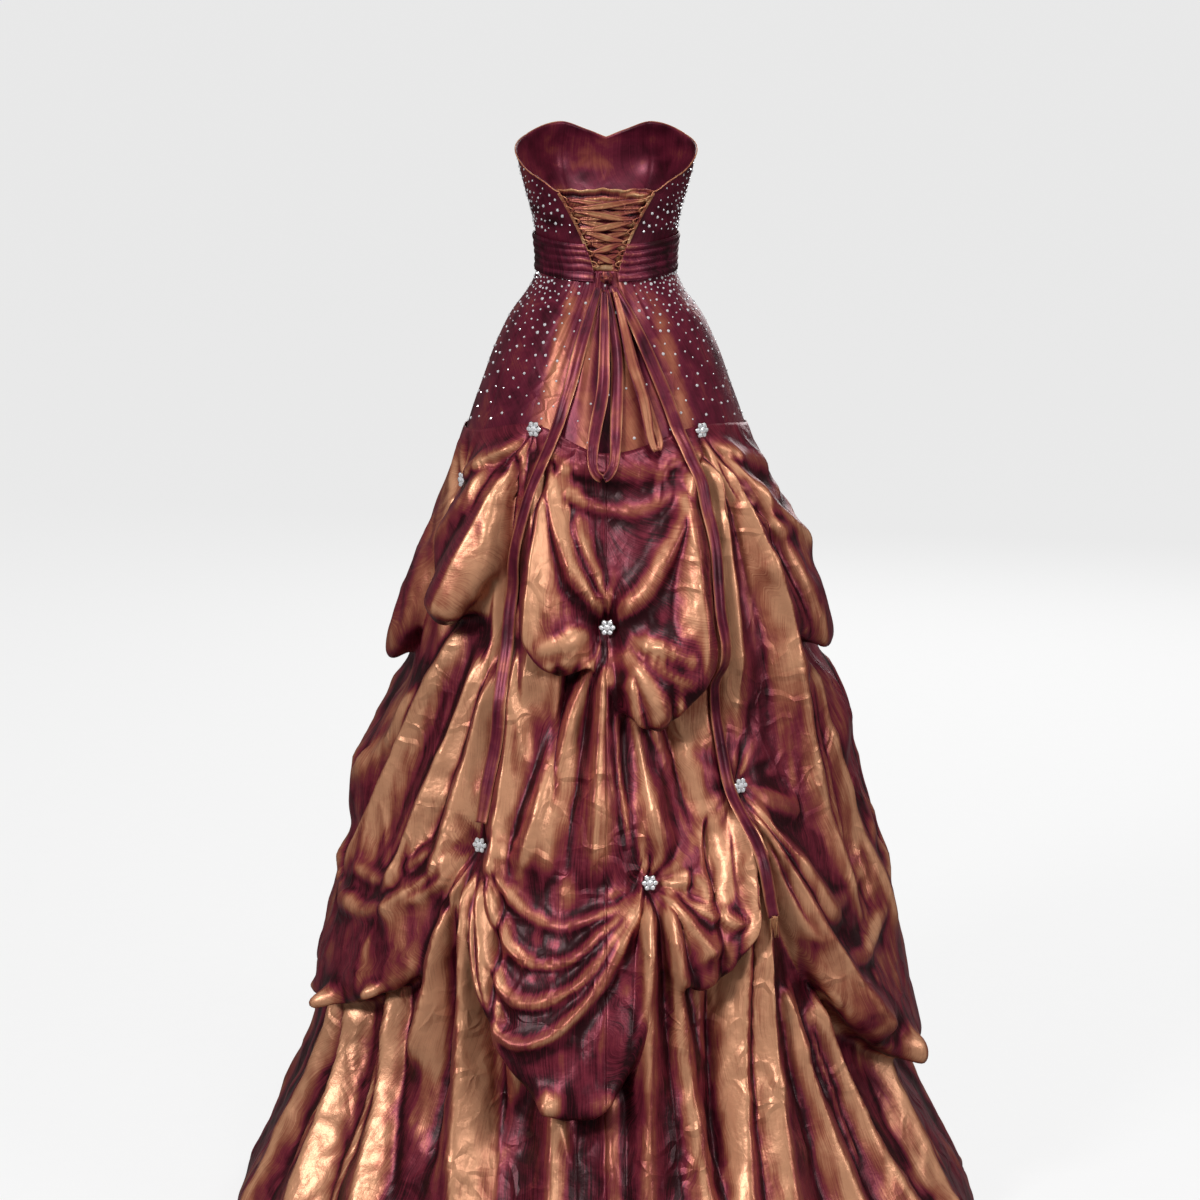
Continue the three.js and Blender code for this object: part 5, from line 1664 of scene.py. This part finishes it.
@dataclass
class Crystals:
    """The rhinestones strewn over the yoke and the bodice, made by a node tree from seeded points."""

    yoke: FittedYoke
    seed: int = 8
    sides: int = 8
    flat_height: float = 0.62

    def scatter(self, candidates: np.ndarray, spacing: np.ndarray, seed: int) -> np.ndarray:
        """Numbers of the candidates that keep their spacing from each other.

        Args:
            candidates: points, mm.
            spacing: the least distance for each, mm.
            seed: the draw's seed.

        Returns:
            The numbers of those that are kept.
        """
        kept: list[int] = []
        for i in np.random.default_rng(seed).permutation(len(candidates)):
            if kept:
                near = np.linalg.norm(candidates[kept] - candidates[i], axis=-1)
                if (near < spacing[i]).any():
                    continue
            kept.append(int(i))
        return np.array(kept)

    def tree(self) -> GeometryNodeTree:
        """The node tree: a faceted stone on every point, turned to its facing and sized by its radius.

        Returns:
            The tree.
        """
        tree = bpy.data.node_groups.new("strewn_crystals", "GeometryNodeTree")
        tree.interface.new_socket("Points", in_out="INPUT", socket_type="NodeSocketGeometry")
        sides = tree.interface.new_socket("Sides", in_out="INPUT", socket_type="NodeSocketInt")
        sides.default_value = self.sides
        depth = tree.interface.new_socket("Depth", in_out="INPUT", socket_type="NodeSocketFloat")
        depth.default_value = self.flat_height
        tree.interface.new_socket("Stones", in_out="OUTPUT", socket_type="NodeSocketGeometry")
        given = add_node(tree, "NodeGroupInput").outputs
        stone = add_node(
            tree, "GeometryNodeMeshCone",
            {"Vertices": given["Sides"], "Radius Top": 0.56, "Radius Bottom": 1.0, "Depth": given["Depth"]},
        )
        facing, radius = (
            add_node(tree, "GeometryNodeInputNamedAttribute", {"Name": name}, data_type=kind)
            for name, kind in (("facing", "FLOAT_VECTOR"), ("radius", "FLOAT"))
        )
        turned = add_node(
            tree, "FunctionNodeAlignRotationToVector", {"Vector": facing.outputs["Attribute"]}, axis="Z"
        )
        strewn = add_node(
            tree, "GeometryNodeInstanceOnPoints",
            {"Points": given["Points"], "Instance": stone.outputs["Mesh"], "Rotation": turned.outputs[0],
             "Scale": radius.outputs["Attribute"]},
        )
        real = add_node(tree, "GeometryNodeRealizeInstances", {0: strewn.outputs[0]})
        dressed = add_node(
            tree, "GeometryNodeSetMaterial", {"Geometry": real.outputs[0], "Material": Finish.STONE.material}
        )
        add_node(tree, "NodeGroupOutput", {"Stones": dressed.outputs[0]})
        return tree

    def strew(self, name: str, points: np.ndarray, facing: np.ndarray, radius: np.ndarray) -> Object:
        """Makes one piece of stones.

        Args:
            name: the piece's name.
            points: where the stones sit, mm.
            facing: which way each faces.
            radius: each stone's radius, mm.

        Returns:
            The object, a plain mesh.
        """
        mesh = bpy.data.meshes.new(name)
        mesh.from_pydata((points * MM).tolist(), [], [])
        held = mesh.attributes.new("facing", "FLOAT_VECTOR", "POINT")
        held.data.foreach_set("vector", facing.astype(np.float32).ravel())
        held = mesh.attributes.new("radius", "FLOAT", "POINT")
        held.data.foreach_set("value", (radius * MM).astype(np.float32))
        made = put(name, mesh)
        modifier = made.modifiers.new("stones", "NODES")
        modifier.node_group = self.group
        given = {"Sides": self.sides, "Depth": self.flat_height}
        for item in self.group.interface.items_tree:
            if item.in_out == "INPUT" and item.name in given:
                modifier[item.identifier] = given[item.name]
        whole = bpy.data.meshes.new_from_object(made.evaluated_get(bpy.context.evaluated_depsgraph_get()))
        made.modifiers.clear()
        made.data = whole
        whole.name = name
        return made

    def on_yoke(self, name: str, start: float, end: float) -> Object:
        """Strews one half of the yoke: thick under the waistband and at the sides, thinning downwards.

        Args:
            name: the piece's name.
            start: the half's first turn.
            end: its last turn.

        Returns:
            The stones.
        """
        turns, shares = np.linspace(start, end, 260)[2:-2], np.linspace(0, 1, 130)
        grid, _ = self.yoke.surface(turns, shares)
        normals = grid_normals(grid)
        turn_grid = np.repeat(turns[:, None], len(shares), axis=1)
        z = grid[..., 2]
        dip = 9 * np.clip(np.cos(np.radians(turn_grid)), 0, 1) ** 8
        free = (z < -21 - dip) & (z > look(*zip(*SKIRT_TOP), wrap(turn_grid)) + 6)
        middle = smooth(1 - (np.abs(wrap(turn_grid)) - 8) / 26)
        spacing = 4.6 + 15.5 * np.clip((-z - 22) / 190, 0, 1) ** 0.75 + 7 * middle
        picked = np.flatnonzero(free.ravel())
        picked = np.random.default_rng(self.seed).choice(picked, min(9000, len(picked)), replace=False)
        points, facing = grid.reshape(-1, 3)[picked], normals.reshape(-1, 3)[picked]
        kept = self.scatter(points, spacing.ravel()[picked], self.seed + 1)
        draw = np.random.default_rng(self.seed + 2).random(len(kept))
        return self.strew(name, points[kept] + 0.05 * facing[kept], facing[kept], 1.15 + 1.25 * draw**2)

    def on_bodice(self, name: str, turns: tuple, keep_from_edge: float) -> Object:
        """Strews one panel of the bodice.

        Args:
            name: the piece's name.
            turns: its first and last turn.
            keep_from_edge: degrees left free beside the V.

        Returns:
            The stones.
        """
        draw = np.random.default_rng(self.seed + 3)
        turn = draw.uniform(*turns, 5000)
        z = draw.uniform(36, 165, 5000)
        free = (z < neck_z(turn) - 4) & (np.abs(wrap(turn)) > opening_turn(z) + keep_from_edge)
        turn, z = turn[free], z[free]
        radius = bodice_radius(turn, z)
        points = place(turn, radius, z)
        facing = unit(place(turn, 1, -0.12))
        side = smooth((np.abs(wrap(turn)) - 35) / 45) * smooth((170 - np.abs(wrap(turn))) / 60)
        spacing = 9.5 - 3.2 * side + 4 * smooth((z - 60) / 80)
        kept = self.scatter(points, spacing, self.seed + 4)
        size = np.random.default_rng(self.seed + 5).random(len(kept))
        return self.strew(name, points[kept], facing[kept], 1.1 + 1.2 * size**2)

    def build(self) -> list[Object]:
        """Builds the stones of the yoke and the bodice.

        Returns:
            The pieces of stones.
        """
        self.group = self.tree()
        return [
            self.on_yoke("yoke_back_crystals", -90, 90),
            self.on_yoke("yoke_front_crystals", 90, 270),
            self.on_bodice("bodice_back_crystals", (-95, 95), 7),
            self.on_bodice("bodice_front_crystals", (97, 263), 7),
        ]


@dataclass
class Brooches:
    """The brooches that pin the pick-ups: round stones on a cast flower."""

    petals: int = 6
    depth: float = 3.4  # from the middle of the CAD brooch back to its base

    def stone(self, centre: np.ndarray, radius: float, high: float) -> tuple[np.ndarray, list]:
        """A round stone with a table and two rows of facets, on the brooch's own plane.

        Args:
            centre: its centre, mm.
            radius: its radius, mm.
            high: its height, mm.

        Returns:
            Its points and faces.
        """
        rings = [(1.0, -0.2), (1.0, 0.25), (0.8, 0.62), (0.5, 0.9)]
        points = [
            centre + [radius * r * math.cos(a + 0.2 * k), radius * r * math.sin(a + 0.2 * k), high * h]
            for k, (r, h) in enumerate(rings) for a in circle(8)
        ]
        return np.array(points), self.stack_faces(len(rings), 8)

    @staticmethod
    def stack_faces(rings: int, sides: int) -> list:
        """The faces of a stack of rings of points, with a cap at either end.

        Args:
            rings: how many rings.
            sides: how many points in each.

        Returns:
            The faces.
        """
        number = np.arange(rings * sides).reshape(rings, sides)
        after = np.roll(number, -1, axis=1)
        faces = np.stack([number[:-1], after[:-1], after[1:], number[1:]], -1).reshape(-1, 4).tolist()
        return faces + [number[-1].tolist(), number[0, ::-1].tolist()]

    def setting(self) -> tuple[np.ndarray, list]:
        """The cast base: a scalloped plate with a claw between every two stones.

        Returns:
            Its points and faces.
        """
        angles = circle(48)
        radius = 9.6 + 1.5 * np.cos(self.petals * angles)
        low = np.stack([radius, radius], -1) * np.stack([np.cos(angles), np.sin(angles)], -1)
        levels = ((0.94, 0.0), (1.0, 0.6), (0.93, 1.3))
        rings = [np.column_stack([low * s, np.full(len(angles), h)]) for s, h in levels]
        parts = [(np.concatenate(rings), self.stack_faces(len(levels), len(angles)))]
        for k in range(self.petals):
            a = 2 * math.pi * (k + 0.5) / self.petals
            parts.append(self.stone(np.array([8.4 * math.cos(a), 8.4 * math.sin(a), 1.5]), 0.9, 1.6))
        return join(parts)

    def build(self) -> list[Object]:
        """Builds the brooches, each over its own node.

        Returns:
            The brooches.
        """
        made = []
        stones = [self.stone(np.array([0.0, 0.0, 1.9]), 4.4, 3.6)]
        for k in range(self.petals):
            a = 2 * math.pi * k / self.petals
            stones.append(self.stone(np.array([7.3 * math.cos(a), 7.3 * math.sin(a), 1.5]), 3.1, 2.4))
        stones = join(stones)
        setting = self.setting()
        for pin in PINS:
            low, high = (np.array(corner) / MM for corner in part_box(f"brooch_{pin.name}"))
            middle = (low + high) / 2
            out = unit(place(pin.turn, 1, 0))
            aside, up = unit(place(pin.turn + 90, 1, 0)), np.array([0, 0, 1.0])
            points, faces = join([setting, stones])
            points = middle - self.depth * out + points @ np.stack([aside, up, out])
            faces = outward(points, faces)
            jewel = add_object(f"brooch_{pin.name}_jewel", points, faces, Finish.SILVER, flat=True)
            jewel.data.materials.append(Finish.STONE.material)
            metal = len(setting[1])
            jewel.data.polygons.foreach_set("material_index", [0] * metal + [1] * (len(faces) - metal))
            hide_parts(f"brooch_{pin.name}")
            made.append(jewel)
        return made


@dataclass
class Studio:
    """The pale floor, the soft lights and the camera at the photograph's angle."""

    floor_z: float = -1.3
    aim_z: float = -0.55
    camera_at: tuple = (0.008, 4.7, 0.46)
    camera_down: float = 11.1
    lens: float = 107.3
    floor_glow: float = 0.78  # for the camera alone, so that the floor fades into the surroundings

    def camera(self) -> None:
        """Makes the camera."""
        data = bpy.data.cameras.new("camera")
        data.lens, data.sensor_width = self.lens, 36
        eye = put("camera", data)
        eye.location = self.camera_at
        eye.rotation_euler = (math.radians(90 - self.camera_down), 0, math.radians(180))
        bpy.context.scene.camera = eye

    def floor(self) -> None:
        """Makes the floor, of matt pale card."""
        material, tree = new_material("pale_card")
        spot = add_node(tree, "ShaderNodeTexCoord").outputs["Object"]
        grain = add_noise(tree, spot, 30.0, 4.0)
        seen = add_node(tree, "ShaderNodeLightPath").outputs["Is Camera Ray"]
        add_surface(
            tree,
            {"Base Color": add_mix(tree, grain, hex_colour("6C6C6C"), hex_colour("707070")), "Roughness": 0.9,
             "Emission Color": hex_colour("FFFFFF"),
             "Emission Strength": add_range(tree, seen, 0.0, 1.0, 0.0, self.floor_glow)},
        )
        mesh = bpy.data.meshes.new("floor")
        far, z = 60.0, self.floor_z
        mesh.from_pydata([(-far, -far, z), (far, -far, z), (far, far, z), (-far, far, z)], [], [(0, 1, 2, 3)])
        mesh.materials.append(material)
        put("floor", mesh)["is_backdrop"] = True

    def lights(self) -> None:
        """Makes the lights and a pale surrounding."""
        world = bpy.data.worlds.new("studio")
        world.use_nodes = True
        tree = world.node_tree
        tree.nodes.clear()
        seen = add_node(tree, "ShaderNodeLightPath").outputs["Is Camera Ray"]
        strength = add_range(tree, seen, 0.0, 1.0, 0.15, 1.0)
        light = add_node(tree, "ShaderNodeBackground", {"Color": hex_colour("F4F4F4"), "Strength": strength})
        add_node(tree, "ShaderNodeOutputWorld", {"Surface": light.outputs[0]})
        bpy.context.scene.world = world
        bpy.context.scene.view_settings.view_transform = "Standard"
        for name, at, size, power in (
            ("key", (2.6, 3.6, 2.0), 0.9, 128.0),
            ("fill", (-3.0, 2.6, 0.7), 1.4, 44.0),
            ("top", (-0.6, 1.4, 3.2), 1.2, 60.0),
            ("front", (-1.0, -4.2, 1.2), 2.6, 72.0),
        ):
            data = bpy.data.lights.new(name, "AREA")
            data.size, data.energy = size, power
            lamp = put(name, data)
            lamp.location = at
            aim = Vector((0, 0, self.aim_z)) - Vector(at)
            lamp.rotation_euler = aim.to_track_quat("-Z", "Y").to_euler()


@dataclass(frozen=True)
class Cut:
    """The flat cut of a piece's cloth that shows, in metres and square metres, and what holds it."""

    piece: str
    width: float
    length: float
    area: float | None
    held: str
    rests_on: tuple = ()
    with_pieces: tuple = ()


def main(cad_box: tuple) -> None:
    """Builds the gown and the studio, and reports every piece.

    Args:
        cad_box: the CAD model's lowest and highest corners; not used.
    """
    logging.basicConfig(level=logging.INFO, format="%(message)s")
    studio = Studio()
    studio.camera()
    studio.floor()
    studio.lights()
    skirt, yoke = DrapedSkirt(), FittedYoke()
    made = [*skirt.build(), *yoke.build(), *Bodice().build(), Waistband().build(), ModestyPanel().build()]
    made += Ribbons(skirt, yoke).build()
    crystals = Crystals(yoke).build() + Brooches().build()
    for piece in made + crystals:
        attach(piece, "root")
        LOG.info("%s: %d faces", piece.name, len(piece.data.polygons))


if __name__ == "__main__":
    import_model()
    main(tuple(corner.copy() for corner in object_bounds()))
